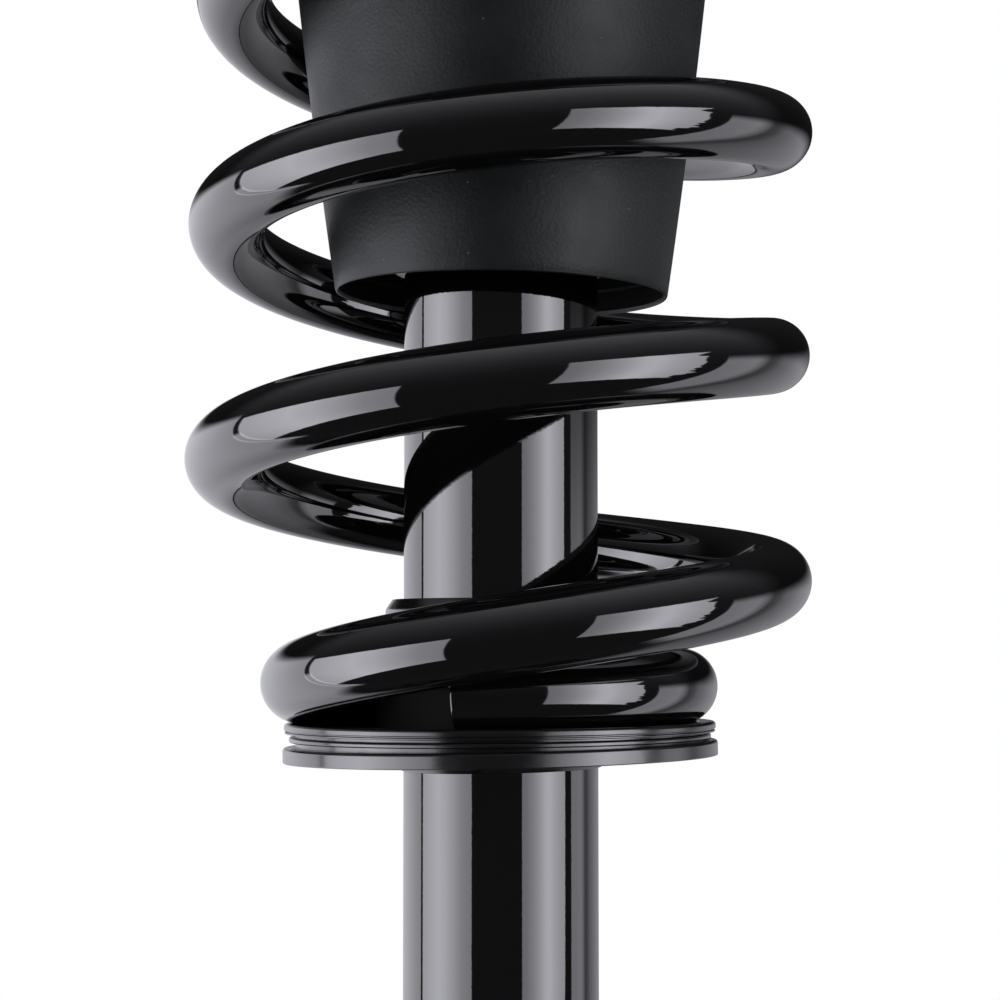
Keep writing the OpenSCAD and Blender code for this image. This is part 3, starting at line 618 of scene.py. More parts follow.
@dataclass
class Perch:
    """The lower spring perch: pan, folded wall, rolled rim, hoop, neck and rubber pad.

    Heights are above the perch's datum. The pan leans by the cant, and the fold and the rim above
    it lean less and less.
    """

    datum: float
    tube_r: float = 22.5
    cant: float = -1.15
    offset: float = -0.25
    hoop_r: float = 50.1
    hoop_h: float = 3.5
    hoop_top: float = -3.45
    fold_r: float = 48.6
    fold_low: float = -2.72
    fold_high: float = -1.45
    wall_r: float = 47.2
    pan_r: float = 45.9
    rim_r: float = 49.7
    rim_low: float = -0.95
    rim_top: float = 1.45
    sheet: float = 2.5
    neck_wall: float = 4.2
    neck_h: float = 29.6
    wire_r: float = 8.7
    wire_z: float = 8.85
    coil_r: float = 41.5
    pad_top: float = -0.15
    collar_r: float = 28.6
    collar_top: float = 10.0
    clear: float = 0.3
    lip_from: float = -105.0
    lip_sweep: float = 216.0

    def canted(self, points: np.ndarray, share: float = 1.0) -> np.ndarray:
        """Turns points about the perch's datum by a share of the cant, then lifts them to it.

        x' = x cos c + z sin c and z' = z cos c - x sin c, with z from the datum, and the whole
        perch stands off the tube's centre by the fit's slack.

        Args:
            points: Points about the datum, one a row, in millimetres.
            share: The part of the cant that they take.

        Returns:
            The moved points.
        """
        turn = math.radians(self.cant * share)
        c, s = math.cos(turn), math.sin(turn)
        x, y, z = points.T
        return np.stack([x * c + z * s + self.offset, y, z * c - x * s + self.datum], axis=1)

    def pan(self) -> bpy.types.Object:
        """Builds the pan with its side wall.

        Returns:
            The piece.
        """
        low = self.hoop_top - self.hoop_h
        floor = low + self.sheet
        top = (self.rim_low + self.rim_top) / 2
        outline = rounded(
            [
                (self.tube_r, low), (self.pan_r, low), (self.pan_r, self.hoop_top - 0.1),
                (self.wall_r, self.hoop_top - 0.1), (self.wall_r, top), (self.pan_r, top),
                (self.pan_r, self.hoop_top + 0.8), (self.pan_r - self.sheet, floor + 0.6),
                (self.pan_r - self.sheet - 0.6, floor), (self.tube_r, floor),
            ],
            [0.1, 0.1, 0.1, 0.1, 0.1, 0.1, 0.5, 0.4, 0.4, 0.1], 4,
        )
        return turned("perch_pan", outline, 192, self.canted)

    def fold(self) -> bpy.types.Object:
        """Builds the fold of sheet that bulges from the wall between hoop and rim.

        Returns:
            The piece.
        """
        inner = self.pan_r + 0.2
        outline = rounded(
            [(inner, self.fold_low), (self.fold_r, self.fold_low), (self.fold_r, self.fold_high),
             (inner, self.fold_high)],
            [0.05, 0.42, 0.55, 0.05], 7,
        )
        return turned("perch_wall_fold", outline, 192, lambda p: self.canted(p, 0.5))

    def rim(self) -> bpy.types.Object:
        """Builds the rolled rim, whose outer face shows the line where the sheet is tucked in.

        Returns:
            The piece.
        """
        inner, seam, tuck = self.pan_r, self.rim_low + 0.72, 0.24
        under, deep = self.rim_r - 0.15, self.rim_r - 0.75
        outline = rounded(
            [
                (inner, self.rim_low), (under, self.rim_low), (under, seam - tuck),
                (deep, seam - tuck), (deep, seam), (self.rim_r, seam),
                (self.rim_r, self.rim_top), (inner, self.rim_top),
            ],
            [0.05, 0.28, 0.16, 0.04, 0.04, 0.3, 1.0, 0.6], 7,
        )
        return turned("perch_rim", outline, 192, lambda p: self.canted(p, 0.3))

    def hoop(self) -> bpy.types.Object:
        """Builds the hoop round the pan's foot.

        Returns:
            The piece.
        """
        low = self.hoop_top - self.hoop_h
        outline = rounded(
            [
                (self.pan_r, low), (self.hoop_r, low),
                (self.hoop_r, self.hoop_top), (self.pan_r, self.hoop_top),
            ],
            [0.1, 0.3, 0.7, 0.1], 8,
        )
        return turned("perch_band", outline, 192, self.canted)

    def neck(self) -> bpy.types.Object:
        """Builds the upright collar that is pressed on the tube.

        Returns:
            The piece.
        """
        r = self.tube_r + self.neck_wall
        low = self.hoop_top - self.hoop_h + self.sheet - 1
        outline = rounded(
            [
                (self.tube_r + 0.02, low), (r, low), (r, self.neck_h - 2.4), (r - 1.6, self.neck_h),
                (self.tube_r + 0.02, self.neck_h),
            ],
            [0.1, 0.1, 1.2, 0.7, 0.2],
        )
        return turned("perch_neck", outline + np.array([0.0, self.datum]), 160)

    def pad(self) -> bpy.types.Object:
        """Builds the rubber pad, a flat ring with a collar that stands round the neck.

        Returns:
            The piece.
        """
        floor = self.hoop_top - self.hoop_h + self.sheet
        inner = self.tube_r + self.neck_wall + self.clear
        edge = self.pan_r - self.clear
        outline = rounded(
            [
                (inner, floor), (self.pan_r - self.sheet - 0.6, floor),
                (self.pan_r - self.sheet, floor + 0.6), (edge, self.hoop_top + 0.8),
                (edge, self.pad_top), (self.collar_r, self.pad_top), (self.collar_r, self.collar_top),
                (inner, self.collar_top),
            ],
            [0.3, 0.3, 0.3, 0.3, 0.5, 0.9, 0.8, 0.4],
        )
        return turned("lower_spring_pad", outline, 160, self.canted)

    def pad_lip(self) -> bpy.types.Object:
        """Builds the lip that cups the flat part of the bottom coil.

        Its upper face is the wire's own circle, moved out by the clearance:
        z = wire_z - sqrt((wire_r + clear)^2 - (r - coil_r)^2).

        Returns:
            The piece.
        """
        outer = self.pan_r - self.clear - 0.2
        inner = self.pan_r - self.clear - 3.0
        r = np.linspace(outer, inner, 9)
        cup = self.wire_z - np.sqrt((self.wire_r + self.clear) ** 2 - (r - self.coil_r) ** 2)
        root = self.pad_top - 1.0
        outline = np.vstack([[(inner, root), (outer, root)], np.stack([r, cup], axis=1)])
        return turned(
            "lower_pad_lip", outline, 100, self.canted, start=self.lip_from, sweep=self.lip_sweep
        )

    def make(self) -> None:
        """Builds and dresses every piece."""
        dress(self.pan(), Body.DAMPER, "pressing_paint", "spring_perch")
        dress(self.fold(), Body.DAMPER, "pressing_paint")
        dress(self.rim(), Body.DAMPER, "pressing_paint")
        dress(self.neck(), Body.DAMPER, "pressing_paint")
        dress(self.hoop(), Body.DAMPER, "pressing_paint", "perch_hoop")
        dress(self.pad(), Body.DAMPER, "moulded_rubber", "lower_isolator")
        dress(self.pad_lip(), Body.DAMPER, "moulded_rubber")


@dataclass
class CoilSpring:
    """The spring: one small flat coil, then open coils on a slightly bowed axis."""

    datum: float
    wire_r: float = 8.7
    coil_r: float = 63.5
    end_coil_r: float = 41.5
    turns: float = 5.25
    pitch: float = 53.0
    widen: tuple[float, float] = (0.67, 1.17)
    climb: tuple[float, float] = (0.62, 1.01)
    close: tuple[float, float] = (4.2, 5.0)
    end_angle: float = -105.0
    foot: float = 0.15
    offset: float = -0.25
    cant: float = -1.2
    bow: float = 2.2
    rings: int = 190
    sides: int = 56
    bevel: float = 0.1
    sheared: float = 0.008

    def turns_of_rings(self) -> np.ndarray:
        """The turn at which each ring stands, from the sheared foot to the top end.

        Returns:
            One turn a ring.
        """
        edge = self.bevel / (2 * np.pi * self.end_coil_r)
        ends = np.array([0.0, edge * 0.3, edge])
        count = int(self.turns * self.rings)
        inside = np.linspace(self.sheared + edge * 2, self.turns - edge * 2, count)
        return np.concatenate([self.sheared + ends, inside, self.turns - ends[::-1]])

    def rise(self, t: np.ndarray) -> np.ndarray:
        """Height gained at turn t: the pitch times the area under its smooth start and end.

        Args:
            t: Turns from the lower wire end.

        Returns:
            One height a turn, in millimetres.
        """
        grow, shut = self.climb[1] - self.climb[0], self.close[1] - self.close[0]
        opening = grow * step_area((t - self.climb[0]) / grow)
        closing = shut * step_area((t - self.close[0]) / shut)
        return self.pitch * (opening - closing)

    def centre(self, t: np.ndarray) -> np.ndarray:
        """The wire's centreline at turn t.

        The radius eases from the end coil's to the open coils'. Each height z leans by
        cant + bow * z / 100 degrees, and shifts sideways by that lean added up from the foot;
        both fade out under the upper seat.

        Args:
            t: Turns from the lower wire end.

        Returns:
            One point a row, in millimetres.
        """
        r = self.end_coil_r + (self.coil_r - self.end_coil_r) * smooth_step(
            (t - self.widen[0]) / (self.widen[1] - self.widen[0])
        )
        z = self.rise(t)
        lift = float(self.rise(np.array([self.turns]))[0])
        fade = 1.0 - smooth_step((z - (lift - self.pitch)) / self.pitch)
        lean = np.radians(self.cant + self.bow * z / 100) * fade
        shift = np.radians(self.cant + self.bow * z / 200) * z * fade
        a = np.radians(self.end_angle) + 2 * np.pi * t
        x, y = r * np.cos(a), r * np.sin(a)
        seat = self.datum + self.foot + self.wire_r
        return np.stack([x + shift + self.offset, y, seat + z - x * lean], axis=1)

    def wire(self) -> bpy.types.Object:
        """Builds the wire, its ends sheared square with a small bevel.

        Each point keeps its place on the unrolled wire: the length run, then across and up
        from the centreline.

        Returns:
            The piece.
        """
        t = self.turns_of_rings()
        radius = np.full(len(t), self.wire_r)
        radius[[0, -1]] -= self.bevel
        radius[[1, -2]] -= self.bevel * 0.5
        path = self.centre(t)
        wire = swept_tube("coil_spring_wire", path, radius, self.sides)
        b = 2 * np.pi * np.arange(self.sides) / self.sides
        run = np.concatenate([[0.0], np.cumsum(np.linalg.norm(np.diff(path, axis=0), axis=1))])
        unrolled = np.stack(
            [
                np.broadcast_to(run[:, None], (len(t), self.sides)),
                radius[:, None] * np.cos(b), radius[:, None] * np.sin(b),
            ],
            axis=-1,
        ).reshape(-1, 3)
        ends = np.array([(run[0], 0.0, 0.0), (run[-1], 0.0, 0.0)])
        place = wire.data.attributes.new(SPRING_COAT.follow, "FLOAT_VECTOR", "POINT")
        place.data.foreach_set("vector", np.vstack([unrolled, ends]).ravel() * MM)
        return wire

    def make(self) -> None:
        """Builds and dresses the wire."""
        wire = self.wire()
        wire.data.materials.append(SPRING_COAT.material())
        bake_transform(wire)
        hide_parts("coil_spring")
        log.info("%s joins both bodies, %d faces", wire.name, len(wire.data.polygons))


@dataclass
class DustBoot:
    """The moulded boot: a widening cone with an open lower rim."""

    datum: float
    rim_h: float = 100.5
    rim_r: float = 38.7
    flare: float = 0.147
    flare_loss: float = 0.0005
    knee: float = 71.0
    upper_flare: float = 0.05
    wall: float = 2.0
    lip: float = 0.9
    lip_run: float = 7.0
    lip_round: float = 0.45
    lean: float = 1.25
    offset: float = 0.1
    hangs_below: float = -85.0
    shoulder_drop: float = 12.0
    neck_r: float = 50.0
    inner_r: float = 37.2
    skin: float = 0.25
    proud: float = 0.06

    def outer(self, h: np.ndarray) -> np.ndarray:
        """Outside radius at height h above the rim: a parabola up to the knee, then a cone.

        Args:
            h: Heights above the rim, in millimetres.

        Returns:
            One radius a height.
        """
        low = np.minimum(h, self.knee)
        parabola = self.rim_r + self.flare * low - self.flare_loss / 2 * low * low
        return parabola + self.upper_flare * np.maximum(h - self.knee, 0)

    def inner(self, h: np.ndarray) -> np.ndarray:
        """Inside radius at height h above the rim: the outside less a wall that thins to the lip."""
        return self.outer(h) - self.lip - (self.wall - self.lip) * smooth_step(h / self.lip_run)

    def hang(self, points: np.ndarray) -> np.ndarray:
        """Leans and shifts the boot's lower part a little, and its neck not at all.

        Args:
            points: Points of the boot as it is turned, in millimetres.

        Returns:
            The moved points.
        """
        x, y, z = points.T
        top = node_top("dust_boot")
        share = smooth_step((top - z) / (top - self.hangs_below))
        slope = math.tan(math.radians(self.lean))
        return np.stack([x + self.offset * share, y, z - x * slope * share], axis=1)

    def shell(self) -> bpy.types.Object:
        """Builds the boot as one closed shell with a rounded rim.

        Returns:
            The piece.
        """
        rim, neck = self.datum + self.rim_h, node_top("dust_boot")
        shoulder = neck - self.shoulder_drop
        body = shoulder - rim
        h = np.linspace(0.6, body - 1.0, 46)
        outside = np.stack([self.outer(h), rim + h], axis=1)
        inside = np.stack([self.inner(h), rim + h], axis=1)[::-1]
        top_r = self.outer(np.array([body]))[0]
        a = np.linspace(-math.pi / 2, 0.0, 8)
        bead = self.lip_round
        rim_edge = np.stack(
            [self.rim_r - bead + bead * np.cos(a), rim + bead + bead * np.sin(a)], axis=1
        )
        cap = np.array([
            (top_r - 0.1, shoulder), (self.neck_r + 0.6, neck - 1.5), (self.neck_r, neck - 0.4),
            (self.neck_r - 1.4, neck), (self.inner_r, neck), (self.inner_r, neck - self.wall),
            (self.neck_r - 2.2, neck - self.wall), (top_r - self.wall - 0.4, shoulder - 0.4),
        ])
        outline = np.vstack([rim_edge, outside, cap, inside])
        return turned("dust_boot_shell", outline, 192, self.hang)

    def painted_shade_lining(self) -> bpy.types.Object:
        """Builds a skin of painted shade, just proud of the inner wall from lip to shoulder, that darkens
        the boot's inside where its own shadow falls.

        Returns:
            The piece.
        """
        rim = self.datum + self.rim_h
        shoulder = node_top("dust_boot") - self.shoulder_drop
        h = np.linspace(2 * self.lip_round, shoulder - self.wall - rim, 40)
        face = np.stack([self.inner(h) - self.proud, rim + h], axis=1)
        back = face[::-1] + (self.skin, 0.0)
        return turned("dust_boot_painted_shade_skin", np.vstack([face, back]), 144, self.hang)

    def make(self) -> None:
        """Builds and dresses the boot and the skin of painted shade inside it."""
        dress(self.shell(), Body.SEAT, "boot_plastic", "dust_boot")
        painted_shade_lining = dress(self.painted_shade_lining(), Body.SEAT, "boot_plastic")
        # The skin gets the nearly black finish that paints the shade inside the boot.
        painted_shade_lining.data.materials[0] = BOOT_INSIDE_PAINTED_SHADE.material()


@dataclass
class SwivelBearing:
    """The moulded races that the spring turns on under the top mount."""

    ring_r: float = 42.0
    half_w: float = 6.0
    groove_r: float = 2.87
    ball_z: float = -13.0
    skirt_r: float = 49.0
    skirt_wall: float = 2.0
    skirt_drop: float = 5.5
    upper_back: float = -6.0
    upper_face: float = -11.5
    lower_face: float = -14.5
    lower_back: float = -20.0

    def race(self, name: str, flat: float, face: float, skirt: bool) -> bpy.types.Object:
        """Builds a race: a flat ring with the balls' groove, and a skirt on the upper one.

        The groove is the part of a circle about the balls' centre that lies beyond the face.

        Args:
            name: The piece's name.
            flat: Height of the race's flat back.
            face: Height of the face with the groove.
            skirt: Whether a skirt hangs from its outer edge.

        Returns:
            The piece.
        """
        drop = face - self.ball_z
        half = math.acos(abs(drop) / self.groove_r)
        a = math.copysign(math.pi / 2, drop) + np.linspace(half, -half, 13)
        groove = self.groove_r * np.stack([np.cos(a), np.sin(a)], axis=1)
        groove += (self.ring_r, self.ball_z)
        inner, outer = self.ring_r - self.half_w, self.ring_r + self.half_w
        if skirt:
            hem = face - self.skirt_drop
            rest = [
                (self.skirt_r, face), (self.skirt_r, hem), (self.skirt_r + self.skirt_wall, hem),
                (self.skirt_r + self.skirt_wall, flat), (inner, flat), (inner, face),
            ]
            radii = [0.1, 0.2, 0.5, 0.7, 0.5, 0.3]
        else:
            rest = [(outer, face), (outer, flat), (inner, flat), (inner, face)]
            radii = [0.5, 0.3, 0.3, 0.5]
        groove = groove[np.argsort(groove[:, 0])]
        edge = rounded([tuple(groove[-1])] + rest + [tuple(groove[0])], [0.0] + radii + [0.0], 5)
        return turned(name, np.vstack([groove[1:-1], edge]), 144)

    def make(self) -> None:
        """Builds and dresses both races."""
        upper = self.race("swivel_upper_race", self.upper_back, self.upper_face, True)
        lower = self.race("swivel_lower_race", self.lower_back, self.lower_face, False)
        dress(upper, Body.MOUNT, "race_plastic", "bearing_upper_race")
        dress(lower, Body.SEAT, "race_plastic", "bearing_lower_race")


@dataclass
class UpperSeat:
    """The pressed upper spring seat and the rubber ring between it and the top coil."""

    collar_r: float = 35.0
    flat_r: float = 50.0
    cone_r: float = 55.0
    rim_r: float = 79.5
    top: float = -20.0
    collar_low: float = -27.5
    flange_top: float = -31.5
    rim_low: float = -38.0
    sheet: float = 2.5
    bend: float = 2.8
    lip_in_r: float = 51.38
    lip_out_r: float = 54.5
    rubber_low: float = -39.3
    lip_low: float = -45.3

    def seat(self) -> bpy.types.Object:
        """Builds the pressing from its outer corners and the same corners one sheet inside.

        Returns:
            The piece.
        """
        t = self.sheet
        lean = t * 0.85
        inner_bend = self.bend - t + 0.6
        corners = [
            (self.collar_r, self.collar_low), (self.collar_r, self.top), (self.flat_r, self.top),
            (self.cone_r, self.flange_top), (self.rim_r, self.flange_top),
            (self.rim_r, self.rim_low), (self.rim_r - t, self.rim_low),
            (self.rim_r - t, self.flange_top - t), (self.cone_r - lean, self.flange_top - t),
            (self.flat_r - lean, self.top - t), (self.collar_r + t, self.top - t),
            (self.collar_r + t, self.collar_low),
        ]
        radii = [
            0.3, self.bend, self.bend, inner_bend, self.bend, 0.4, 0.3, inner_bend, self.bend,
            inner_bend, inner_bend, 0.3,
        ]
        return turned("upper_seat_pressing", rounded(corners, radii, 8), 192)

    def isolator(self) -> bpy.types.Object:
        """Builds the rubber ring, with the lip that centres the top coil.

        Returns:
            The piece.
        """
        under, outer = self.flange_top - self.sheet, self.rim_r - self.sheet
        outline = rounded(
            [
                (self.lip_in_r, under), (outer, under), (outer, self.rubber_low),
                (self.lip_out_r, self.rubber_low), (self.lip_out_r - 0.3, self.lip_low),
                (self.lip_in_r, self.lip_low),
            ],
            [0.3, 0.3, 1.2, 0.8, 0.9, 0.7], 7,
        )
        return turned("upper_seat_rubber", outline, 192)

    def make(self) -> None:
        """Builds and dresses both pieces."""
        dress(self.seat(), Body.SEAT, "pressing_paint", "upper_spring_seat")
        dress(self.isolator(), Body.SEAT, "moulded_rubber", "upper_isolator")


@dataclass
class MountCushion:
    """The rubber bonded between the top mount's housing and its inner sleeve."""

    housing_r: float = 29.0
    sleeve_r: float = 12.0
    mouth_r: float = 17.0
    disc_r: float = 22.5
    disc_t: float = 3.0
    top: float = 8.0
    bottom: float = -18.0
    dimple: float = 2.4
    chamfer: float = 0.6

    def cushion(self) -> bpy.types.Object:
        """Builds the rubber, with a round groove in each face and the slot for the sleeve's disc.

        Each groove is half a circle of the dimple's radius about the face.

        Returns:
            The piece.
        """
        groove_r = (self.sleeve_r + self.mouth_r) / 2 + 1
        a = np.linspace(0, math.pi, 11)
        dip = np.stack([groove_r + self.dimple * np.cos(a), -self.dimple * np.sin(a)], axis=1)
        middle, half = (self.top + self.bottom) / 2, self.disc_t / 2
        slot = [
            (self.sleeve_r, middle - half), (self.disc_r, middle - half),
            (self.disc_r, middle + half), (self.sleeve_r, middle + half),
        ]
        edge = self.housing_r - self.chamfer
        outline = np.vstack(
            [
                slot, [(self.sleeve_r, self.top)], (dip + (0.0, self.top))[::-1],
                [(edge, self.top), (self.housing_r, self.top - self.chamfer)],
                [(self.housing_r, self.bottom + self.chamfer), (edge, self.bottom)],
                dip * (1.0, -1.0) + (0.0, self.bottom), [(self.sleeve_r, self.bottom)],
            ]
        )
        return turned("mount_cushion", outline, 144)

    def make(self) -> None:
        """Builds and dresses the rubber."""
        dress(self.cushion(), Body.MOUNT, "moulded_rubber", "mount_rubber")


@dataclass
class BumpStop:
    """The foam bump stop on the rod."""

    rod_r: float = 10.2
    nose_r: float = 16.5
    body_r: float = 21.5
    low: float = -96.0
    top: float = -26.0
    waists: tuple[float, float, float] = (-49.0, -67.0, -85.0)
    waist_depth: float = 2.8
    waist_half: float = 3.8
    keep: float = 0.64

    def foam(self) -> bpy.types.Object:
        """Builds the foam: a barrel that narrows to its nose and is drawn in at each waist.

        The outside radius is the barrel's, less at each waist the depth times a cosine hump.

        Returns:
            The piece.
        """
        z = np.linspace(self.low + 0.8, self.top - 0.4, 120)
        barrel = self.nose_r + (self.body_r - self.nose_r) * smooth_step((z - self.low + 1.5) / 11)
        off = np.abs(z[:, None] - np.array(self.waists)[None]) / self.waist_half
        pinch = (np.cos(np.pi * np.minimum(off, 1.0)) + 1).max(axis=1) / 2
        side = np.stack([barrel - self.waist_depth * pinch, z], axis=1)
        foot = [(self.rod_r + 0.8, self.low), (self.nose_r - 0.9, self.low)]
        head = [(self.body_r - 0.5, self.top), (self.rod_r, self.top)]
        outline = np.vstack([foot, side, head, [(self.rod_r, self.low + 0.8)]])
        return turned("bump_stop_foam", outline, 120)

    def make(self) -> None:
        """Builds and dresses the foam, and gives it a mesh of its own."""
        foam = dress(self.foam(), Body.MOUNT, "stop_foam", "bump_stop")
        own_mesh(foam)


@dataclass
class RodRubbers:
    """The rubbers that the rod runs in or carries inside the tube: its seal and its bumper."""

    rod_r: float = 10.0
    tube_in_r: float = 20.0

    def seal(self) -> bpy.types.Object:
        """Builds the rod seal, with an oil lip and a dust lip on the rod.

        Returns:
            The piece.
        """
        low, top = node_bottom("rod_seal"), node_top("rod_seal")
        lip, touch = self.rod_r + 1.5, self.rod_r + 0.04
        middle = (low + top) / 2
        outline = rounded(
            [
                (touch, low + 1), (lip, low), (self.tube_in_r, low), (self.tube_in_r, top),
                (lip + 1, top), (touch, top - 1), (lip, middle),
            ],
            [0.1, 0.4, 0.3, 0.3, 0.4, 0.1, 0.8],
        )
        return turned("rod_seal_rubber", outline, 96)

    def bumper(self) -> bpy.types.Object:
        """Builds the rebound bumper, a plain rubber ring with a softened upper edge.

        Returns:
            The piece.
        """
        low, top = node_bottom("rebound_bumper"), node_top("rebound_bumper")
        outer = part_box("rebound_bumper")[1].x / MM
        bore = self.rod_r + 0.2
        outline = rounded(
            [(bore, low), (outer, low), (outer, top - 2), (outer - 1.5, top), (bore, top)],
            [0.4, 0.6, 1.0, 1.0, 0.4],
        )
        return turned("rebound_bumper_rubber", outline, 96)

    def make(self) -> None:
        """Builds and dresses both rubbers."""
        dress(self.seal(), Body.DAMPER, "moulded_rubber", "rod_seal")
        dress(self.bumper(), Body.MOUNT, "moulded_rubber", "rebound_bumper")


# ---------------------------------------------------------------- studio


@dataclass(frozen=True)
class Panel:
    """A lit face of the light tent, placed by angles in degrees as the strut sees it.

    Azimuth is 0 towards the camera and grows towards +X, and height is 0 at the horizon. The
    light fades over `soft_side` and `soft_end` at the panel's edges. Each stop is an azimuth and
    the brightness there, and the first and last number of `span` are where the stops are read.
    """

    azimuth: float
    half_width: float
    soft_side: float
    height: float
    half_height: float
    soft_end: float
    span: tuple[float, float]
    stops: tuple[tuple[float, float], ...]


LEFT_BOX = Panel(
    -69.1, 34.9, 1.2, -17.0, 26.0, 1.5, (-110, -30),
    (
        (-108, 4.6), (-100, 5.4), (-90, 7.2), (-78, 9.2), (-68, 8.7), (-56, 6.8), (-46, 5.0),
        (-36, 4.3),
    ),
)
RIGHT_BOX = Panel(
    52.4, 27.8, 1.0, -7.0, 25.0, 1.5, (20, 90),
    (
        (22, 3.0), (30, 3.6), (38, 4.9), (46, 6.9), (54, 9.3), (59, 9.5), (66, 7.8), (74, 6.3),
        (82, 5.2),
    ),
)
LEFT_WALL = Panel(
    -144.0, 36.4, 0.8, -20.0, 32.0, 8.0, (-180, -104),
    (
        (-180, 0.5), (-170, 0.9), (-160, 1.1), (-150, 1.5), (-140, 2.0), (-125, 2.7),
        (-108, 3.2),
    ),
)
RIGHT_WALL = Panel(
    134.8, 44.2, 1.6, -24.0, 28.0, 12.0, (90, 180),
    (
        (91, 2.7), (97, 2.5), (108, 2.3), (112, 1.5), (117, 0.4), (121, 0.45), (128, 0.8),
        (142, 0.8), (150, 0.7), (172, 0.35),
    ),
)
# The ceiling's brightness at heights above the horizon.
CEILING_SPAN = (-10, 90)
CEILING_STOPS = (
    (-10, 0.08), (10, 0.12), (22, 0.2), (35, 0.32), (50, 0.52), (62, 0.75), (78, 1.0),
)


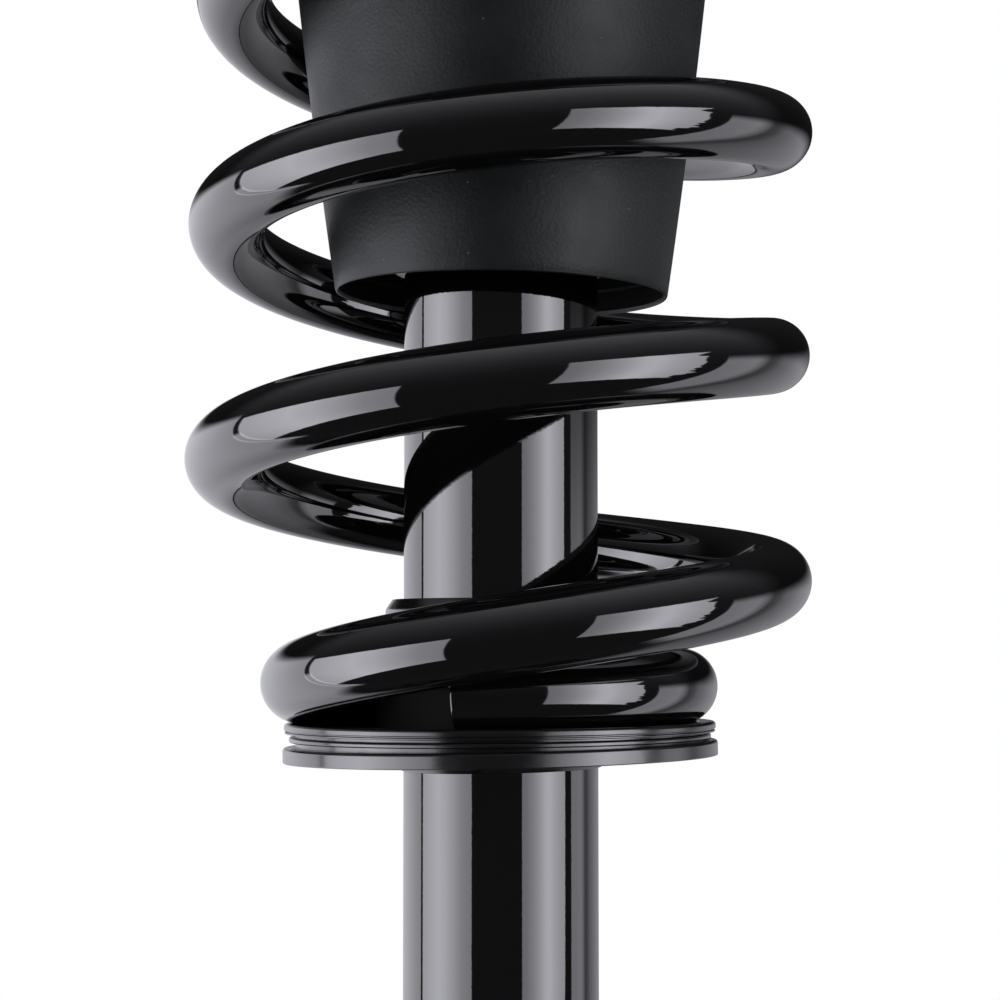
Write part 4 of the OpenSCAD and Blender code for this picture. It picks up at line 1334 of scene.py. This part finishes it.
@dataclass(frozen=True)
class LightTent:
    """Draws the tent's panels as nodes in a world's tree."""

    tree: bpy.types.NodeTree
    ramp_top: float = 10.0
    fringe: float = 4.5
    calm: tuple[float, float] = (7.0, 13.0)
    join_strength: float = 3.6

    def window(self, value: Any, middle: float, half: float, soft: float) -> bpy.types.Node:
        """Draws a band that is 1 within half of its middle and fades to 0 over soft.

        Args:
            value: The angle, in radians.
            middle: The band's middle, in degrees.
            half: Half of its width, in degrees.
            soft: The width of its fading edge, in degrees.

        Returns:
            The node whose value is the share of light.
        """
        off = add_node(self.tree, "Math", {0: value, 1: math.radians(middle)}, operation="SUBTRACT")
        size = add_node(self.tree, "Math", {0: off}, operation="ABSOLUTE")
        return add_node(
            self.tree, "MapRange",
            {
                "Value": size, "From Min": math.radians(half + soft / 2),
                "From Max": math.radians(max(half - soft / 2, 0.0)), "To Min": 0.0, "To Max": 1.0,
            },
            interpolation_type="SMOOTHSTEP",
        )

    def curve(
        self, value: Any, span: tuple[float, float], stops: Sequence[tuple[float, float]]
    ) -> bpy.types.Node:
        """Looks a brightness up between stops.

        Args:
            value: The angle, in radians.
            span: The angles between which the stops are read, in degrees.
            stops: Each stop's angle in degrees and its brightness, at most 10.

        Returns:
            The node whose value is the brightness.
        """
        low, high = span
        at = add_node(
            self.tree, "MapRange",
            {"Value": value, "From Min": math.radians(low), "From Max": math.radians(high)},
        )
        ramp = add_node(self.tree, "ValToRGB", {"Fac": at})
        ramp.color_ramp.interpolation = "LINEAR"
        points = ramp.color_ramp.elements
        while len(points) > 1:
            points.remove(points[-1])
        for k, (angle, bright) in enumerate(stops):
            share = (angle - low) / (high - low)
            point = points[0] if k == 0 else points.new(share)
            point.position = share
            point.color = (*[bright / self.ramp_top] * 3, 1.0)
        return add_node(
            self.tree, "Math", {0: ramp.outputs["Color"], 1: self.ramp_top}, operation="MULTIPLY"
        )

    def together(self, operation: str, *parts: Any) -> Any:
        """Adds up or multiplies all parts, one after another.

        Args:
            operation: ADD or MULTIPLY.
            *parts: Values, nodes or sockets.

        Returns:
            The last node.
        """
        total = parts[0]
        for part in parts[1:]:
            total = add_node(self.tree, "Math", {0: total, 1: part}, operation=operation)
        return total

    def panel(self, lit: Panel, azimuth: Any, height: Any, edge: Optional[Any] = None) -> Any:
        """Draws one panel: its width times its height times its brightness.

        Args:
            lit: The panel.
            azimuth: The ray's azimuth, in radians.
            height: The ray's height, in radians.
            edge: The azimuth that the panel's side edges are measured on, if they aren't upright.

        Returns:
            The node whose value is the panel's light.
        """
        sideways = azimuth if edge is None else edge
        return self.together(
            "MULTIPLY",
            self.window(sideways, lit.azimuth, lit.half_width, lit.soft_side),
            self.window(height, lit.height, lit.half_height, lit.soft_end),
            self.curve(azimuth, lit.span, lit.stops),
        )

    def ragged(self, azimuth: Any, height: Any) -> Any:
        """Pushes the azimuth to and fro by a noise of height, where a box's outer side is fringed.

        The push is `fringe` degrees at most, hardly any near the horizon, and none on the side
        that faces the camera.

        Args:
            azimuth: The ray's azimuth, in radians.
            height: The ray's height, in radians.

        Returns:
            The node whose value is the pushed azimuth.
        """
        torn = add_node(
            self.tree, "TexNoise", {"W": height, "Scale": 7.0, "Detail": 1.0}, noise_dimensions="1D"
        )
        push = add_node(
            self.tree, "MapRange",
            {
                "Value": torn.outputs[0], "From Min": 0.38, "From Max": 0.62,
                "To Min": math.radians(-self.fringe), "To Max": math.radians(self.fringe),
            },
        )
        level = add_node(self.tree, "Math", {0: height}, operation="ABSOLUTE")
        free = add_node(
            self.tree, "MapRange",
            {
                "Value": level, "From Min": math.radians(self.calm[0]),
                "From Max": math.radians(self.calm[1]), "To Min": 0.12, "To Max": 1.0,
            },
        )
        outer_half = add_node(
            self.tree, "Math", {0: azimuth, 1: math.radians(52.0)}, operation="GREATER_THAN"
        )
        push = self.together("MULTIPLY", push, free, outer_half)
        return add_node(self.tree, "Math", {0: azimuth, 1: push}, operation="ADD")

    def brightness(self) -> bpy.types.Node:
        """Draws the whole tent.

        Returns:
            The node whose value is the light that comes along a ray.
        """
        ray = add_node(self.tree, "TexCoord").outputs["Generated"]
        part = add_node(self.tree, "SeparateXYZ", {"Vector": ray})
        ahead = add_node(self.tree, "Math", {0: part.outputs["Y"], 1: -1.0}, operation="MULTIPLY")
        azimuth = add_node(
            self.tree, "Math", {0: part.outputs["X"], 1: ahead}, operation="ARCTAN2"
        )
        height = add_node(self.tree, "Math", {0: part.outputs["Z"]}, operation="ARCSINE")
        in_front = add_node(
            self.tree, "MapRange",
            {
                "Value": part.outputs["Y"], "From Min": 0.6, "From Max": 0.2, "To Min": 0.1,
                "To Max": 1.0,
            },
            interpolation_type="SMOOTHSTEP",
        )
        low_join = self.together(
            "MULTIPLY", self.window(azimuth, -105.7, 2.6, 1.6),
            self.window(height, -34.0, 21.0, 6.0), self.join_strength,
        )
        return self.together(
            "ADD",
            self.panel(LEFT_BOX, azimuth, height),
            self.panel(RIGHT_BOX, azimuth, height, self.ragged(azimuth, height)),
            self.panel(LEFT_WALL, azimuth, height),
            self.panel(RIGHT_WALL, azimuth, height),
            self.together("MULTIPLY", in_front, self.curve(height, CEILING_SPAN, CEILING_STOPS)),
            low_join,
        )


@dataclass
class Studio:
    """Camera, floor, lamps and the reflections that a light tent gives.

    The gloss sees a long softbox on each side, a pale wall behind and a ceiling that brightens
    upwards; plain lamps light the rest at a level where colours show as written.
    """

    datum: float
    distance: float = 552.95
    camera_h: float = 19.68
    camera_x: float = -0.2
    pitch: float = 3.42
    lens: float = 85.8
    floor_half: float = 40.0
    floor_gap: float = 0.0005
    paper_fade: tuple[float, float] = (0.45, 0.9)
    lamp_reach: float = 1.3
    fill: float = 0.3

    def camera(self) -> None:
        """Sets the camera in front of the perch, tilted up a little."""
        data = bpy.data.cameras.new("studio_camera")
        data.sensor_fit, data.sensor_width, data.lens = "HORIZONTAL", 36.0, self.lens
        data.clip_start, data.clip_end = 0.01, 60.0
        made = bpy.data.objects.new("studio_camera", data)
        bpy.context.scene.collection.objects.link(made)
        made.location = (self.camera_x * MM, -self.distance * MM, (self.datum + self.camera_h) * MM)
        made.rotation_euler = (math.radians(90 + self.pitch), 0.0, 0.0)
        bpy.context.scene.camera = made

    def floor(self) -> None:
        """Lays a pale floor under the strut that keeps its shadow and turns white far off."""
        size = self.floor_half
        corners = np.array([(-size, -size, 0), (size, -size, 0), (size, size, 0), (-size, size, 0)])
        made = build_mesh("studio_floor", corners / MM, [[0, 1, 2, 3]])
        made.location.z = CAD_BOX[0].z - self.floor_gap
        made.visible_glossy = False
        material = bpy.data.materials.new("white_paper_sweep")
        material.use_nodes = True
        tree = material.node_tree
        tree.nodes.clear()
        place = add_node(tree, "TexCoord").outputs["Object"]
        away = add_node(tree, "VectorMath", {0: place}, operation="LENGTH")
        far = add_node(
            tree, "MapRange",
            {
                "Value": away.outputs["Value"], "From Min": self.paper_fade[0],
                "From Max": self.paper_fade[1], "To Min": 0.35, "To Max": 1.0,
            },
            interpolation_type="SMOOTHSTEP",
        )
        paper = add_node(tree, "BsdfDiffuse", {"Color": linear("#d9d9dc")})
        rays = add_node(tree, "LightPath")
        seen = add_node(
            tree, "Math",
            {0: rays.outputs["Is Camera Ray"], 1: rays.outputs["Is Transmission Ray"]},
            operation="MAXIMUM",
        )
        share = add_node(tree, "Math", {0: far, 1: seen}, operation="MULTIPLY")
        glow = add_node(tree, "Emission", {"Color": (1.0, 1.0, 1.0, 1.0), "Strength": 1.0})
        mixed = add_node(tree, "MixShader", {0: share, 1: paper, 2: glow})
        add_node(tree, "OutputMaterial", {"Surface": mixed})
        made.data.materials.append(material)

    def lamp(self, name: str, power: float, azimuth: float, elevation: float, size: float) -> None:
        """Hangs a square soft lamp that lights without showing in the gloss.

        Args:
            name: The lamp's name.
            power: Watts.
            azimuth: Degrees round from the camera's side, towards +X.
            elevation: Degrees above the horizon.
            size: Edge length in metres.
        """
        data = bpy.data.lights.new(name, "AREA")
        data.shape, data.size, data.energy = "SQUARE", size, power
        made = bpy.data.objects.new(name, data)
        bpy.context.scene.collection.objects.link(made)
        a, e = math.radians(azimuth), math.radians(elevation)
        aim = Vector((0, 0, self.datum * MM))
        away = Vector((math.sin(a) * math.cos(e), -math.cos(a) * math.cos(e), math.sin(e)))
        made.location = aim + away * self.lamp_reach
        made.rotation_euler = away.to_track_quat("Z", "Y").to_euler()
        made.visible_glossy = False

    def world(self) -> None:
        """Builds the surroundings: white to the camera, a dim even fill, and the tent to gloss."""
        world = bpy.data.worlds.new("light_tent")
        bpy.context.scene.world = world
        world.use_nodes = True
        tree = world.node_tree
        tree.nodes.clear()
        tent = LightTent(tree).brightness()
        gloss = add_node(tree, "Background", {"Color": linear("#f6f6ff"), "Strength": tent})
        plain = (1.0, 1.0, 1.0, 1.0)
        fill = add_node(tree, "Background", {"Color": plain, "Strength": self.fill})
        white = add_node(tree, "Background", {"Color": plain, "Strength": 1.0})
        rays = add_node(tree, "LightPath")
        first = add_node(tree, "MixShader", {0: rays.outputs["Is Glossy Ray"], 1: fill, 2: gloss})
        seen = add_node(
            tree, "Math",
            {0: rays.outputs["Is Camera Ray"], 1: rays.outputs["Is Transmission Ray"]},
            operation="MAXIMUM",
        )
        both = add_node(tree, "MixShader", {0: seen, 1: first, 2: white})
        add_node(tree, "OutputWorld", {"Surface": both})

    def make(self) -> None:
        """Builds the whole studio."""
        self.camera()
        self.floor()
        self.lamp("left_lamp", 9.0, -55.0, 20.0, 0.9)
        self.lamp("right_lamp", 5.0, 50.0, 15.0, 0.8)
        self.lamp("top_lamp", 5.0, 10.0, 75.0, 1.0)
        self.lamp("back_lamp", 4.0, 170.0, 30.0, 1.0)
        self.world()
        bpy.context.scene.view_settings.view_transform = "Standard"


@dataclass(frozen=True)
class EdgeBreak:
    """What a press, a lathe or a barrel leaves on a hard part: curved faces and broken edges."""

    width: float = 0.35
    crease: float = 32.0
    flat: float = 0.5
    join: float = 1e-6
    plain: tuple[str, ...] = ("bearing_balls",)

    def shading(self) -> bpy.types.NodeTree:
        """Builds the node group that shades curved faces smooth and keeps creases.

        Returns:
            The node group.
        """
        name = "broken_edges"
        tree = bpy.data.node_groups.get(name)
        if tree is not None:
            return tree
        tree = bpy.data.node_groups.new(name, "GeometryNodeTree")
        tree.interface.new_socket("Geometry", in_out="INPUT", socket_type="NodeSocketGeometry")
        tree.interface.new_socket("Geometry", in_out="OUTPUT", socket_type="NodeSocketGeometry")
        taken = add_node(tree, "GroupInput")
        smooth = add_node(tree, "SetShadeSmooth", {"Geometry": taken, "Shade Smooth": True}, domain="FACE")
        angle = add_node(tree, "InputMeshEdgeAngle")
        gentle = add_node(
            tree, "Math", {0: angle.outputs["Unsigned Angle"], 1: math.radians(self.crease)},
            operation="LESS_THAN",
        )
        edges = add_node(
            tree, "SetShadeSmooth", {"Geometry": smooth, "Shade Smooth": gentle}, domain="EDGE"
        )
        add_node(tree, "GroupOutput", {0: edges})
        return tree

    def apply(self, node: bpy.types.Object) -> None:
        """Adds the modifiers that join, flatten, break and shade the node's faces.

        Args:
            node: The CAD node, whose own mesh stays as it is.
        """
        weld = node.modifiers.new("join_corners", "WELD")
        weld.merge_threshold = self.join
        if node.name not in self.plain:
            flat = node.modifiers.new("whole_faces", "DECIMATE")
            flat.decimate_type, flat.angle_limit = "DISSOLVE", math.radians(self.flat)
            edge = node.modifiers.new("broken_edge", "BEVEL")
            edge.width, edge.segments = self.width * MM, 2
            edge.limit_method, edge.angle_limit = "ANGLE", math.radians(self.crease)
        shade = node.modifiers.new("shading", "NODES")
        shade.node_group = self.shading()


def dress_kept_nodes() -> None:
    """Gives each CAD node that stays its finish by the slot that the record names."""
    edges = EdgeBreak()
    for part in frame["record"]["subparts"]:
        node = frame["nodes"][part["node"]]
        if node.hide_render:
            continue
        material = FINISH_OF_SLOT[part["material_slot"]].material()
        if not node.material_slots:
            node.data.materials.append(material)
        for place in node.material_slots:
            place.material = material
        edges.apply(node)
        log.info("%s keeps its CAD shape with %s", node.name, material.name)


def main() -> None:
    """Builds the studio and each sub-assembly in order."""
    damper = Damper()
    perch = damper.perch
    parts = (
        Studio(perch), damper, Perch(perch), CoilSpring(perch), DustBoot(perch), SwivelBearing(),
        UpperSeat(), MountCushion(), BumpStop(), RodRubbers(),
    )
    for part in parts:
        part.make()
    dress_kept_nodes()


if __name__ == "__main__":
    logging.basicConfig(level=logging.INFO, format="%(name)s: %(message)s")
    main()
